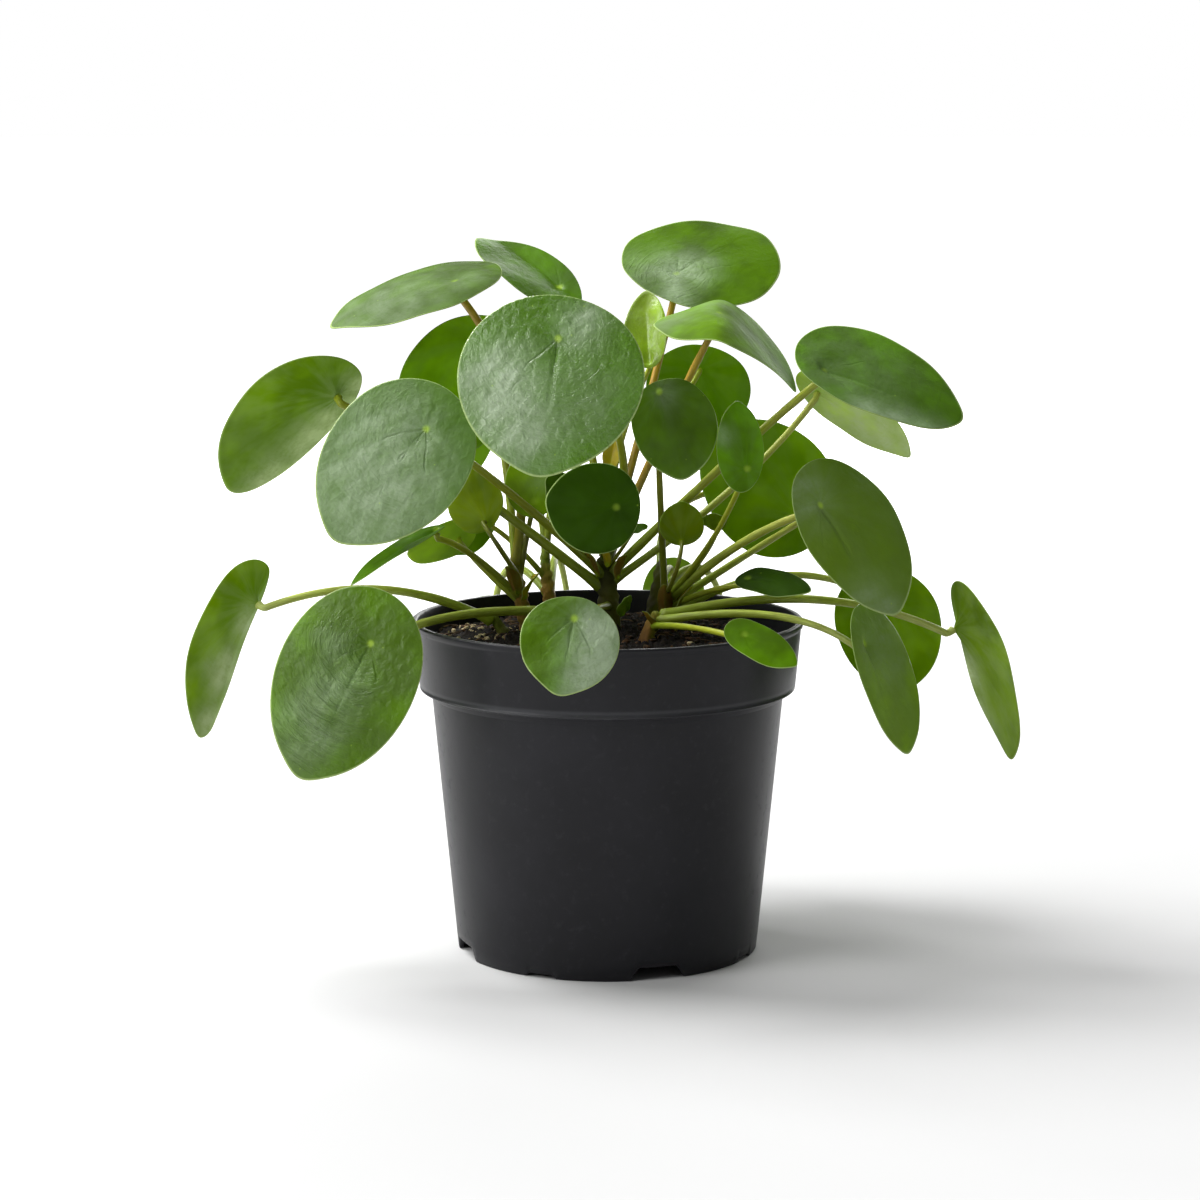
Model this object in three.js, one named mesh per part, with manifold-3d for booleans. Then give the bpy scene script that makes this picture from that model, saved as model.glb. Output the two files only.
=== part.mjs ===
// Potted pilea plant: leafy shoots that stand in a nursery pot of soil.
// Millimetres, +Z up. The origin is the middle of the pot's foot, and the plant's front faces -Y.
import * as THREE from 'three';
import { mergeVertices } from 'three/addons/utils/BufferGeometryUtils.js';
import Module from 'manifold-3d';

const wasm = await Module();
wasm.setup();

// Driving sizes of the pot
const potHeight = 128;
const rimRadius = 75;
const bandFootRadius = 72;
const bandHeight = 26.5;
const bodyTopRadius = 67.6;
const footRadius = 57.8;
const wall = 1.4;
const lipHeight = 2.4;
const lipOut = 0.9;
const floorLift = 5;
const potSegments = 48;

// Drain slots in the pot's foot: wide ones and shallow ones take turns round it
const slotCount = 4;
const firstSlotTurn = 19;
const slot = { wide: 18, high: 5, slope: 2 };
const shallowSlot = { wide: 11, high: 1.5, slope: 1 };
const slotCut = { from: footRadius - 8, to: footRadius + 4 };
const floorHole = { from: 44, to: 54, wide: 10 };

// The gap between pieces that touch, and the wider one between soil and pot wall
const gap = 0.3;
const soilGap = 0.55;

// Driving sizes of the soil and of the holes that the stems stand in
const soilDrop = 9.5;
const soilHeap = 3;
const soilLumps = 0.7;
const soilSegments = 32;
const soilRings = 6;
const holeDepth = 22;
const holeSegments = 14;

// The blade's outline and relief, as shares of its length or width. creaseRound is how wide
// the crease of a fold is.
const bladeThickness = 0.9;
const usualBack = 0.26;
const usualDome = 0.15;
const outline = { half: 0.47, point: 0.03, pointTurn: 0.3, egg: 0.08 };
const dimple = { deep: 0.02, wide: 0.18 };
const creaseRound = 0.08;

// Stalks: radius by blade length, thicker towards the stem, and a neck under the blade
const stalk = { sides: 5, steps: 7, thin: 0.55, perLength: 0.012, swell: 0.5, neck: 0.055 };

// Stems: sides, and the top's share of the foot's radius
const stem = { sides: 8, taper: 0.8 };

// Shoots: where the stem stands, its radius, and where it ends
const shoots = {
  main: { at: [1, 12], radius: 4.6, top: [-1, 12, 150] },
  left: { at: [-31, 16], radius: 3, top: [-36, 15, 146] },
  front_left: { at: [-40, 2], radius: 2.2, top: [-44, 1, 127] },
  right: { at: [24, 16], radius: 3.4, top: [22, 12, 136] },
  front_right: { at: [15, -14], radius: 2.8, top: [19, -12, 131] },
  back_left: { at: [-22, 46], radius: 3, top: [-25, 50, 142] },
  back_right: { at: [18, 48], radius: 3, top: [22, 52, 142] },
};

// Leaves. joint: where the stalk meets the blade. tip: the blade's point. wide: its width.
// roll: turn about the midrib from the upper side's highest place. back: share of the length
// that lies behind the joint. side: how far the blade's middle lies beside the midrib line.
// up: how far up the stem the stalk leaves it. by: a point half way along the stalk.
// dome, fold and wave bend the blade.
const leaves = {
  top_right: { on: 'main', up: 0.95, joint: [27, 46, 257], tip: [61, 68, 275], wide: 68, roll: 22,
    by: [15, 28, 205] },
  waved: { on: 'main', up: 0.9, joint: [42, -6, 245], tip: [41, -34, 239], wide: 58, roll: -12,
    back: 0.49, side: 6, dome: 0.2, fold: -0.6, wave: 2, by: [22, 8, 200] },
  high_right: { on: 'main', up: 0.7, joint: [81, -15, 224], tip: [133, -20, 206], wide: 48, roll: 32,
    back: 0.19, side: 7, fold: 0.1, by: [44, -2, 187] },
  under_right: { on: 'main', up: 0.6, joint: [81, 20, 213], tip: [117, 30, 189], wide: 30, roll: -28,
    back: 0.2, side: -3, by: [47, 16, 175] },
  behind_waved: { on: 'main', up: 0.8, joint: [37, 75, 217], tip: [36, 85, 188], wide: 42, roll: 10,
    by: [16, 48, 180] },
  young: { on: 'main', up: 1, joint: [16, 18, 224], tip: [14, 26, 252], wide: 17, roll: -30, back: 0.06,
    fold: 0.35, by: [4, 21, 188] },
  front_big: { on: 'main', up: 0.9, joint: [-18, -58, 239], tip: [-25, -76, 192], wide: 68, roll: -13,
    back: 0.24, side: -1, by: [5, -8, 195] },
  dark_oval: { on: 'right', up: 0.9, joint: [19, -26, 217], tip: [25, -37, 186], wide: 34, roll: 10,
    back: 0.12, side: 4, by: [20, -4, 174] },
  folded: { on: 'right', up: 0.8, joint: [52, -24, 188], tip: [52, -16, 213], wide: 18, roll: 7,
    side: 3, fold: 0.4, by: [40, -4, 159] },
  back_right: { on: 'right', up: 0.6, joint: [78, 48, 160], tip: [42, 62, 193], wide: 58, roll: 76,
    back: 0.16, by: [50, 32, 145] },
  right_big: { on: 'right', up: 0.7, joint: [79, -30, 175], tip: [103, -46, 136], wide: 48, roll: 20,
    side: 8, by: [50, -6, 157] },
  back_left: { on: 'left', up: 0.9, joint: [-50, 52, 231], tip: [-70, 70, 184], wide: 58, roll: 19,
    back: 0.16, by: [-40, 34, 185] },
  top_left: { on: 'left', up: 0.95, joint: [-59, 30, 255], tip: [-107, 20, 245], wide: 60, roll: -14,
    back: 0.28, side: -6, dome: 0.3, by: [-36, 22, 205] },
  top_folded: { on: 'main', up: 0.95, joint: [-19, 58, 251], tip: [-47, 78, 273], wide: 30, roll: -20,
    side: 6, fold: 0.3, by: [-8, 26, 200] },
  far_left: { on: 'main', up: 0.5, joint: [-103, 5, 213], tip: [-142, 18, 176], wide: 50, roll: 26,
    back: 0.21, side: 8, fold: 0.22, by: [-61, 8, 183] },
  left_big: { on: 'main', up: 0.7, joint: [-67, -36, 204], tip: [-100, -50, 165], wide: 55, roll: -53,
    back: 0.24, side: -2, by: [-37, -8, 177] },
  left_thin: { on: 'left', up: 0.5, joint: [-65, -4, 162], tip: [-97, -26, 149], wide: 10, roll: -12,
    back: 0.08, fold: 0.2, by: [-52, 8, 151] },
  pale_left: { on: 'back_left', up: 0.7, joint: [-51, 42, 161], tip: [-62, 40, 148], wide: 22, roll: 60,
    by: [-38, 42, 152] },
  round_left: { on: 'left', up: 0.4, joint: [-58, 22, 156], tip: [-78, 12, 153], wide: 24, roll: 50,
    by: [-48, 20, 144] },
  olive_left: { on: 'left', up: 0.9, joint: [-46, -2, 165], tip: [-56, 6, 184], wide: 26, roll: 93,
    back: 0.1, by: [-41, -8, 156] },
  small_mid: { on: 'left', up: 0.7, joint: [-28, 10, 172], tip: [-34, 14, 189], wide: 19, roll: -51,
    by: [-31, 14, 158] },
  shade_mid: { on: 'main', up: 0.8, joint: [-14, -10, 174], tip: [-22, -13, 184], wide: 18, roll: -60,
    by: [-6, 2, 163] },
  dark_mid: { on: 'main', up: 0.9, joint: [3, -60, 178], tip: [-22, -62, 183], wide: 34, roll: -96,
    side: 2, by: [2, -20, 168] },
  olive_mid: { on: 'right', up: 0.9, joint: [28, -8, 158], tip: [28, -4, 173], wide: 17, roll: -174,
    back: 0.06, by: [26, -12, 148] },
  bud_right: { on: 'right', up: 0.8, joint: [43, 4, 164], tip: [36, 4, 166], wide: 8, roll: 60,
    by: [36, 3, 150] },
  bud_mid: { on: 'main', up: 0.8, joint: [9, -8, 163], tip: [15, -8, 165], wide: 6, roll: 30,
    by: [5, 0, 154] },
  far_left_low: { on: 'front_left', up: 0.8, joint: [-133, -15, 136], tip: [-155, -25, 87], wide: 32,
    roll: 50, back: 0.22, side: 5, fold: 0.4, by: [-86, -7, 140] },
  left_low: { on: 'main', up: 0.15, joint: [-87, -55, 127], tip: [-112, -65, 78], wide: 55, roll: -51,
    side: -3, by: [-52, -16, 132] },
  front_small: { on: 'main', up: 0.3, joint: [-12, -98, 143], tip: [-17, -112, 119], wide: 35,
    roll: -22, back: 0.22, by: [-6, -46, 138] },
  thin_right: { on: 'right', up: 0.5, joint: [53, -13, 145], tip: [75, -30, 145], wide: 16, roll: 27,
    back: 0.15, by: [38, 0, 138] },
  small_right: { on: 'front_right', up: 0.5, joint: [49, -78, 134], tip: [67, -90, 126], wide: 15,
    roll: 37, by: [32, -50, 132] },
  right_low: { on: 'front_right', up: 0.7, joint: [96, -30, 123], tip: [110, -44, 84], wide: 34,
    roll: -3, side: 7, by: [62, -27, 133] },
  behind_low: { on: 'right', up: 0.3, joint: [110, 27, 131], tip: [118, 32, 94], wide: 44, roll: -33,
    side: 2, by: [68, 24, 141] },
  far_right: { on: 'front_right', up: 0.9, joint: [135, 14, 122], tip: [153, 20, 73], wide: 38,
    roll: -7, back: 0.29, side: -16, by: [78, -6, 136] },
  over_rim: { on: 'back_right', up: 0.4, joint: [27, 88, 129], tip: [28, 98, 99], wide: 26, roll: -7,
    by: [25, 72, 137] },
  back_low_left: { on: 'back_left', up: 0.4, joint: [-48, 98, 108], tip: [-54, 103, 68], wide: 46,
    roll: 36, by: [-40, 76, 136] },
  back_low_mid: { on: 'back_left', up: 0.2, joint: [-14, 108, 106], tip: [-14, 111, 66], wide: 44,
    roll: 4, by: [-20, 84, 140] },
  back_low_right: { on: 'back_right', up: 0.3, joint: [50, 99, 107], tip: [55, 104, 67], wide: 48,
    roll: -36, by: [39, 76, 136] },
  back_high_left: { on: 'back_left', up: 0.9, joint: [-66, 92, 194], tip: [-80, 112, 160], wide: 50,
    roll: 8, by: [-34, 72, 176] },
  back_high_mid: { on: 'back_left', up: 1, joint: [-14, 90, 214], tip: [-12, 116, 182], wide: 52,
    roll: -6, by: [-20, 70, 180] },
  back_mid_right: { on: 'back_right', up: 0.9, joint: [66, 93, 170], tip: [80, 110, 144], wide: 44,
    roll: -14, by: [30, 76, 162] },
};

// The colours of the plant and the pot
const colours = {
  blade: 0x3f7a24,
  stalk: 0x7d9450,
  pot: 0x2d2e30,
  soil: 0x241a14,
};

function material(colour, roughness) {
  return new THREE.MeshStandardMaterial({ color: colour, roughness, metalness: 0 });
}

function vector(list) {
  return new THREE.Vector3(...list);
}

// A closed geometry with shared corners, its faces turned outwards
function closed(geometry) {
  geometry.deleteAttribute('normal');
  geometry.deleteAttribute('uv');
  const merged = mergeVertices(geometry, 1e-4);
  const place = merged.getAttribute('position');
  const index = Array.from(merged.getIndex().array);
  const corners = [new THREE.Vector3(), new THREE.Vector3(), new THREE.Vector3()];
  const kept = [];
  let volume = 0;
  for (let i = 0; i < index.length; i += 3) {
    const face = index.slice(i, i + 3);
    if (new Set(face).size < 3) continue;
    corners.forEach((corner, k) => corner.fromBufferAttribute(place, face[k]));
    volume += corners[0].dot(corners[1].clone().cross(corners[2]));
    kept.push(...face);
  }
  if (volume < 0) kept.reverse();
  merged.setIndex(kept);
  return merged;
}

function toSolid(geometry) {
  const whole = closed(geometry);
  const vertProperties = new Float32Array(whole.getAttribute('position').array);
  const triVerts = new Uint32Array(whole.getIndex().array);
  return new wasm.Manifold(new wasm.Mesh({ numProp: 3, vertProperties, triVerts }));
}

function toGeometry(solid) {
  const mesh = solid.getMesh();
  const geometry = new THREE.BufferGeometry();
  geometry.setAttribute('position', new THREE.BufferAttribute(mesh.vertProperties, 3));
  geometry.setIndex(Array.from(mesh.triVerts));
  return geometry;
}

// A profile of [radius, height] points turned round the Z axis
function turned(profile, segments) {
  const points = profile.map(([radius, height]) => new THREE.Vector2(radius, height));
  return new THREE.LatheGeometry(points, segments).rotateX(Math.PI / 2);
}

const bandFoot = potHeight - bandHeight;

// The pot's inner radius at a height: the wall below the band, and the wider band above it
function innerRadius(z) {
  if (z < bandFoot) {
    return footRadius + (bodyTopRadius - footRadius) * (z / bandFoot) - wall;
  }
  const share = (z - bandFoot) / bandHeight;
  return bandFootRadius + (rimRadius - lipOut - bandFootRadius) * share - wall;
}

// A drain slot's cutter: a trapezoid that narrows upwards, drawn out along the radius
function slotCutter({ wide, high, slope }, { from, to }) {
  const section = new THREE.Shape();
  section.moveTo(-wide / 2 - slope, -1);
  section.lineTo(wide / 2 + slope, -1);
  section.lineTo(wide / 2 - slope, high);
  section.lineTo(-wide / 2 + slope, high);
  section.closePath();
  const cutter = new THREE.ExtrudeGeometry(section, { depth: to - from, bevelEnabled: false });
  cutter.rotateX(Math.PI / 2);
  return cutter.translate(0, -from, 0);
}

function makePot() {
  const bandTop = potHeight - lipHeight;
  const round = lipHeight / 3;
  const shell = turned([
    [0, floorLift],
    [footRadius - 1.8 * wall, floorLift],
    [footRadius - 1.3 * wall, 0],
    [footRadius, 0],
    [bodyTopRadius, bandFoot],
    [bandFootRadius - 0.4, bandFoot],
    [bandFootRadius, bandFoot + 0.6],
    [rimRadius - lipOut, bandTop - 0.5],
    [rimRadius, bandTop + 0.3],
    [rimRadius, potHeight - round],
    [rimRadius - round, potHeight],
    [innerRadius(potHeight) + 0.4, potHeight],
    [innerRadius(potHeight), potHeight - 0.6],
    [innerRadius(bandFoot + wall), bandFoot + wall],
    [innerRadius(bandFoot - 0.1), bandFoot + wall],
    [innerRadius(floorLift + wall), floorLift + wall],
    [0, floorLift + wall],
  ], potSegments);
  let pot = toSolid(shell);
  for (let i = 0; i < slotCount; i += 1) {
    const turn = THREE.MathUtils.degToRad(firstSlotTurn + i * 360 / slotCount);
    const half = THREE.MathUtils.degToRad(180 / slotCount);
    const wideCut = slotCutter(slot, slotCut).rotateZ(turn);
    const shallowCut = slotCutter(shallowSlot, slotCut).rotateZ(turn + half);
    const holeSize = { wide: floorHole.wide, high: floorLift + 2 * wall, slope: 0 };
    const hole = slotCutter(holeSize, floorHole).rotateZ(turn);
    pot = pot.subtract(toSolid(wideCut));
    pot = pot.subtract(toSolid(shallowCut));
    pot = pot.subtract(toSolid(hole));
  }
  return toGeometry(pot);
}

const soilEdge = potHeight - soilDrop;

// The soil's height at a place: a low heap with lumps that fade towards the pot's wall
function soilHeight(x, y) {
  const share = Math.min(1, Math.hypot(x, y) / innerRadius(soilEdge));
  const lumps = Math.sin(x / 5.3 + 1) * Math.cos(y / 4.6) + Math.sin((x + y) / 8.1);
  return soilEdge + soilHeap * (1 - share * share) + soilLumps * lumps * (1 - share ** 6);
}

function makeSoil() {
  const floorTop = floorLift + wall + gap;
  const bodyEdge = innerRadius(bandFoot - 0.1) - soilGap;
  const edge = innerRadius(soilEdge) - soilGap;
  const profile = [
    [0, floorTop],
    [innerRadius(floorTop) - soilGap, floorTop],
    [bodyEdge, bandFoot + wall - 0.1],
    [bodyEdge, bandFoot + wall + gap],
    [innerRadius(bandFoot + wall) - soilGap, bandFoot + wall + gap],
    [edge, soilEdge],
  ];
  for (let i = soilRings - 1; i >= 0; i -= 1) {
    profile.push([edge * i / soilRings, soilEdge + 1]);
  }
  const body = closed(turned(profile, soilSegments));
  const place = body.getAttribute('position');
  for (let i = 0; i < place.count; i += 1) {
    if (place.getZ(i) > soilEdge - 0.1) {
      place.setZ(i, soilHeight(place.getX(i), place.getY(i)));
    }
  }
  let soil = toSolid(body);
  const above = 10;
  for (const { at, radius } of Object.values(shoots)) {
    const middle = soilHeight(...at) + (above - holeDepth) / 2;
    const wide = radius + 2 * gap;
    const hole = new THREE.CylinderGeometry(wide, wide, holeDepth + above, holeSegments);
    hole.rotateX(Math.PI / 2).translate(at[0], at[1], middle);
    soil = soil.subtract(toSolid(hole));
  }
  return toGeometry(soil);
}

// A round rod through points, with a radius at each and flat ends
function rod(points, radii, sides) {
  const last = points.length - 1;
  const along = points.map((point, i) => {
    const ahead = points[Math.min(i + 1, last)];
    const behind = points[Math.max(i - 1, 0)];
    return ahead.clone().sub(behind).normalize();
  });
  along[last] = points[last].clone().sub(points[last - 1]).normalize();
  const positions = [];
  const index = [];
  let outward = new THREE.Vector3(0.3, 1, 0);
  points.forEach((point, i) => {
    outward = outward.clone().addScaledVector(along[i], -outward.dot(along[i])).normalize();
    const across = along[i].clone().cross(outward);
    for (let k = 0; k < sides; k += 1) {
      const angle = 2 * Math.PI * k / sides;
      const corner = point.clone();
      corner.addScaledVector(outward, radii[i] * Math.cos(angle));
      corner.addScaledVector(across, radii[i] * Math.sin(angle));
      positions.push(...corner.toArray());
    }
  });
  for (let i = 0; i < last; i += 1) {
    for (let k = 0; k < sides; k += 1) {
      const a = i * sides + k;
      const b = i * sides + (k + 1) % sides;
      index.push(a, b, b + sides, a, b + sides, a + sides);
    }
  }
  for (let k = 1; k < sides - 1; k += 1) {
    index.push(0, k + 1, k, last * sides, last * sides + k, last * sides + k + 1);
  }
  const geometry = new THREE.BufferGeometry();
  geometry.setAttribute('position', new THREE.Float32BufferAttribute(positions, 3));
  geometry.setIndex(index);
  return geometry;
}

// A blade's own directions: along the midrib to the tip, across it, and out of its upper side
function bladeFrame(leaf) {
  const joint = vector(leaf.joint);
  const along = vector(leaf.tip).sub(joint);
  const reach = along.length();
  along.normalize();
  const level = new THREE.Vector3(0, 0, 1).addScaledVector(along, -along.z).normalize();
  const side = along.clone().cross(level);
  const turn = THREE.MathUtils.degToRad(leaf.roll);
  const upper = level.multiplyScalar(Math.cos(turn)).addScaledVector(side, Math.sin(turn));
  const across = upper.clone().cross(along);
  const back = leaf.back ?? usualBack;
  return { joint, along, across, upper, back, length: reach / (1 - back) };
}

// A point of a blade's upper face. out runs from 0 at the joint to 1 at the edge, and angle
// goes round the blade from its tip. The outline is an ellipse, fuller near the base, with a
// blunt point. The face is a low dome with a dimple at the joint, folded with a rounded
// crease, and waved.
function bladePoint(leaf, frame, out, angle) {
  const { length, back } = frame;
  const fromTip = Math.min(angle, 2 * Math.PI - angle);
  const bump = Math.exp(-((fromTip / outline.pointTurn) ** 2)) - (1 - Math.cos(angle)) / 2;
  const half = outline.half * Math.cos(angle) + outline.point * bump;
  const p = out * length * (0.5 - back + half);
  const egg = 1 - outline.egg * Math.cos(angle);
  const c = out * (0.5 * leaf.wide * Math.sin(angle) * egg + (leaf.side ?? 0));
  const dome = -(leaf.dome ?? usualDome) * (p * p + c * c) / length;
  const rise = dimple.deep * length * (1 - Math.exp(-((out / dimple.wide) ** 2)));
  const crease = creaseRound * leaf.wide;
  const fold = (leaf.fold ?? 0) * (Math.hypot(c, crease) - crease);
  const wave = (leaf.wave ?? 0) * out ** 2 * Math.sin(3 * angle);
  return frame.joint.clone()
    .addScaledVector(frame.along, p)
    .addScaledVector(frame.across, c)
    .addScaledVector(frame.upper, dome + rise + fold + wave);
}

// A blade: rings of points from the joint to the edge, the same on both faces
function makeBlade(leaf) {
  const frame = bladeFrame(leaf);
  const big = frame.length > 36;
  const spokes = big ? 16 : 12;
  const rings = big ? [0.2, 0.62, 1] : [0.45, 1];
  const upperFace = [frame.joint.clone()];
  for (const out of rings) {
    for (let k = 0; k < spokes; k += 1) {
      upperFace.push(bladePoint(leaf, frame, out, 2 * Math.PI * k / spokes));
    }
  }
  const count = upperFace.length;
  const drop = frame.upper.clone().multiplyScalar(-bladeThickness);
  const lowerFace = upperFace.map((point) => point.clone().add(drop));
  const faces = [];
  for (let k = 0; k < spokes; k += 1) {
    const next = (k + 1) % spokes;
    faces.push([0, 1 + k, 1 + next]);
    for (let ring = 1; ring < rings.length; ring += 1) {
      const inner = 1 + (ring - 1) * spokes;
      const outer = inner + spokes;
      faces.push([inner + k, outer + k, outer + next]);
      faces.push([inner + k, outer + next, inner + next]);
    }
  }
  const index = faces.flatMap(([a, b, c]) => [a, b, c, count + a, count + c, count + b]);
  const edge = 1 + (rings.length - 1) * spokes;
  for (let k = 0; k < spokes; k += 1) {
    const a = edge + k;
    const b = edge + (k + 1) % spokes;
    index.push(a, count + a, count + b, a, count + b, b);
  }
  const geometry = new THREE.BufferGeometry().setFromPoints([...upperFace, ...lowerFace]);
  geometry.setIndex(index);
  return closed(geometry);
}

// The line of a shoot's stem: straight down in its hole, then leaning to its top
function stemLine({ at, top }) {
  const height = soilHeight(...at);
  const foot = new THREE.Vector3(at[0], at[1], height - holeDepth + gap);
  const collar = new THREE.Vector3(at[0], at[1], height + 1);
  return [foot, collar, vector(top)];
}

// A stalk: a bow from the stem through its half-way point, then a short neck up to the blade.
// A blade that folds down needs twice the gap at the neck's end.
function makeStalk(leaf) {
  const frame = bladeFrame(leaf);
  const [, collar, top] = stemLine(shoots[leaf.on]);
  const start = collar.clone().lerp(top, leaf.up);
  const neck = frame.joint.clone().addScaledVector(frame.upper, -stalk.neck * frame.length - 1);
  const handle = vector(leaf.by).multiplyScalar(2).addScaledVector(start.clone().add(neck), -0.5);
  const bow = new THREE.QuadraticBezierCurve3(start, handle, neck).getPoints(stalk.steps);
  const thin = stalk.thin + stalk.perLength * frame.length;
  const clear = leaf.fold < 0 ? 2 * gap : gap;
  const end = frame.joint.clone().addScaledVector(frame.upper, -bladeThickness - clear);
  const radii = bow.map((point, i) => thin * (1 + stalk.swell * (1 - Math.sqrt(i / stalk.steps))));
  return rod([...bow, end], [...radii, 1.1 * thin], stalk.sides);
}

// A shoot: its stem with all its stalks grown on
function makeShoot(name) {
  const shoot = shoots[name];
  const radii = [shoot.radius, shoot.radius, stem.taper * shoot.radius];
  let whole = toSolid(rod(stemLine(shoot), radii, stem.sides));
  for (const leaf of Object.values(leaves)) {
    if (leaf.on === name) whole = whole.add(toSolid(makeStalk(leaf)));
  }
  return toGeometry(whole);
}

const plant = new THREE.Group();

function addPiece(name, geometry, finish) {
  const piece = new THREE.Mesh(geometry, finish);
  piece.name = name;
  plant.add(piece);
}

const bladeFinish = material(colours.blade, 0.4);
const stalkFinish = material(colours.stalk, 0.55);

addPiece('pot', makePot(), material(colours.pot, 0.45));
addPiece('soil', makeSoil(), material(colours.soil, 0.95));
for (const name of Object.keys(shoots)) {
  addPiece(`shoot_${name}`, makeShoot(name), stalkFinish);
}
for (const [name, leaf] of Object.entries(leaves)) {
  addPiece(`leaf_${name}`, makeBlade(leaf), bladeFinish);
}

export default plant;
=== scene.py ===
import math
import bpy
import numpy as np
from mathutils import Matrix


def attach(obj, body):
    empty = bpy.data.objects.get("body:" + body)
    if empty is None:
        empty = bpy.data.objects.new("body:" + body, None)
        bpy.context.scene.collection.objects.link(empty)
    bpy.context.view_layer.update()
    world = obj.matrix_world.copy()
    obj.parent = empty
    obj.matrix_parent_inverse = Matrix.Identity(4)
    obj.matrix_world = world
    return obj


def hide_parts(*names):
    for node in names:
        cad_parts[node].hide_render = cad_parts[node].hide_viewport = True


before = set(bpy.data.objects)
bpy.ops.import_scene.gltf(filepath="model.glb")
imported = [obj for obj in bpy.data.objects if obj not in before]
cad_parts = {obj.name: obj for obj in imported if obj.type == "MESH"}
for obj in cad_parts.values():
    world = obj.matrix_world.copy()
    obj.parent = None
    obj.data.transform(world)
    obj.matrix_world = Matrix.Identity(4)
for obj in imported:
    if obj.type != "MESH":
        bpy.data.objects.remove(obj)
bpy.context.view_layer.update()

mm = 0.001
print("frame loaded:", len(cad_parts), "nodes")


# Camera and view, as in the photograph

cameraPlan = {"at": (-2.9, -1244.0, 323.0), "down": 8.6, "lens": 98.6, "sensor": 36.0}


def makeCamera(plan):
    data = bpy.data.cameras.new("camera")
    data.lens = plan["lens"]
    data.sensor_width = plan["sensor"]
    camera = bpy.data.objects.new("camera", data)
    camera.location = [value * mm for value in plan["at"]]
    camera.rotation_euler = (math.radians(90 - plan["down"]), 0, 0)
    bpy.context.collection.objects.link(camera)
    bpy.context.scene.camera = camera


makeCamera(cameraPlan)
bpy.context.scene.view_settings.view_transform = "Standard"


# Node helpers

def hexColour(text):
    parts = [int(text[i:i + 2], 16) / 255 for i in (0, 2, 4)]
    return [p / 12.92 if p <= 0.04045 else ((p + 0.055) / 1.055) ** 2.4 for p in parts]


def feed(tree, socket, value):
    # value is another node's output, a colour in six hex digits, or a plain value
    if isinstance(value, bpy.types.NodeSocket):
        tree.links.new(value, socket)
    else:
        socket.default_value = (*hexColour(value), 1) if isinstance(value, str) else value


def addNode(tree, kind, inputs=None, **settings):
    node = tree.nodes.new("ShaderNode" + kind)
    for name, value in settings.items():
        setattr(node, name, value)
    for name, value in (inputs or {}).items():
        feed(tree, node.inputs[name], value)
    return node


def calc(tree, operation, *values, clamp=False):
    inputs = dict(enumerate(values))
    return addNode(tree, "Math", inputs, operation=operation, use_clamp=clamp).outputs[0]


def plus(tree, first, second):
    return calc(tree, "ADD", first, second)


def times(tree, first, second, clamp=False):
    return calc(tree, "MULTIPLY", first, second, clamp=clamp)


def ramp(tree, value, low, high):
    # 0 at low, 1 at high, smooth between; low may be the greater of the two
    inputs = {"Value": value, "From Min": low, "From Max": high}
    settings = {"interpolation_type": "SMOOTHSTEP", "clamp": True}
    return addNode(tree, "MapRange", inputs, **settings).outputs["Result"]


def noise(tree, vector, scale, detail=3.0, rough=0.5, bend=0.0):
    inputs = {"Vector": vector, "Scale": scale, "Detail": detail, "Roughness": rough,
              "Distortion": bend}
    return addNode(tree, "TexNoise", inputs).outputs["Fac"]


def mixColour(tree, share, first, second, blend="MIX"):
    inputs = {0: share, 6: first, 7: second}
    return addNode(tree, "Mix", inputs, data_type="RGBA", blend_type=blend).outputs[2]


def split(tree, vector):
    return addNode(tree, "SeparateXYZ", {0: vector}).outputs


def combine(tree, *values):
    return addNode(tree, "CombineXYZ", dict(enumerate(values))).outputs[0]


def objectPlace(tree):
    return addNode(tree, "TexCoord").outputs["Object"]


def attribute(tree, name, output="Vector"):
    node = addNode(tree, "Attribute", attribute_name=name, attribute_type="GEOMETRY")
    return node.outputs[output]


def newGroup(name, inputs, outputs):
    # An empty shader group; inputs and outputs give the kind of each socket
    group = bpy.data.node_groups.new(name, "ShaderNodeTree")
    for way, sockets in (("INPUT", inputs), ("OUTPUT", outputs)):
        for label, kind in sockets.items():
            group.interface.new_socket(label, in_out=way, socket_type="NodeSocket" + kind)
    given = group.nodes.new("NodeGroupInput").outputs
    return group, given, group.nodes.new("NodeGroupOutput").inputs


def newMaterial(name, look):
    # A Principled shader; through adds light that comes through where the piece is thin
    material = bpy.data.materials.new(name)
    material.use_nodes = True
    tree = material.node_tree
    shader = tree.nodes["Principled BSDF"]
    feed(tree, shader.inputs["Roughness"], look["roughness"])
    feed(tree, shader.inputs["Specular IOR Level"], look["specular"])
    if "through" in look:
        glow = addNode(tree, "BsdfTranslucent", {"Color": look["through"]})
        inputs = {0: look["throughShare"], 1: shader.outputs[0], 2: glow.outputs[0]}
        both = addNode(tree, "MixShader", inputs)
        feed(tree, tree.nodes["Material Output"].inputs["Surface"], both.outputs[0])
    return material, tree, shader


def bump(tree, shader, height, strength, relief):
    # relief is in millimetres
    inputs = {"Height": height, "Strength": strength, "Distance": relief * mm}
    feed(tree, shader.inputs["Normal"], addNode(tree, "Bump", inputs).outputs["Normal"])


# Mesh helpers: every form is a grid of rows and spokes

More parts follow.
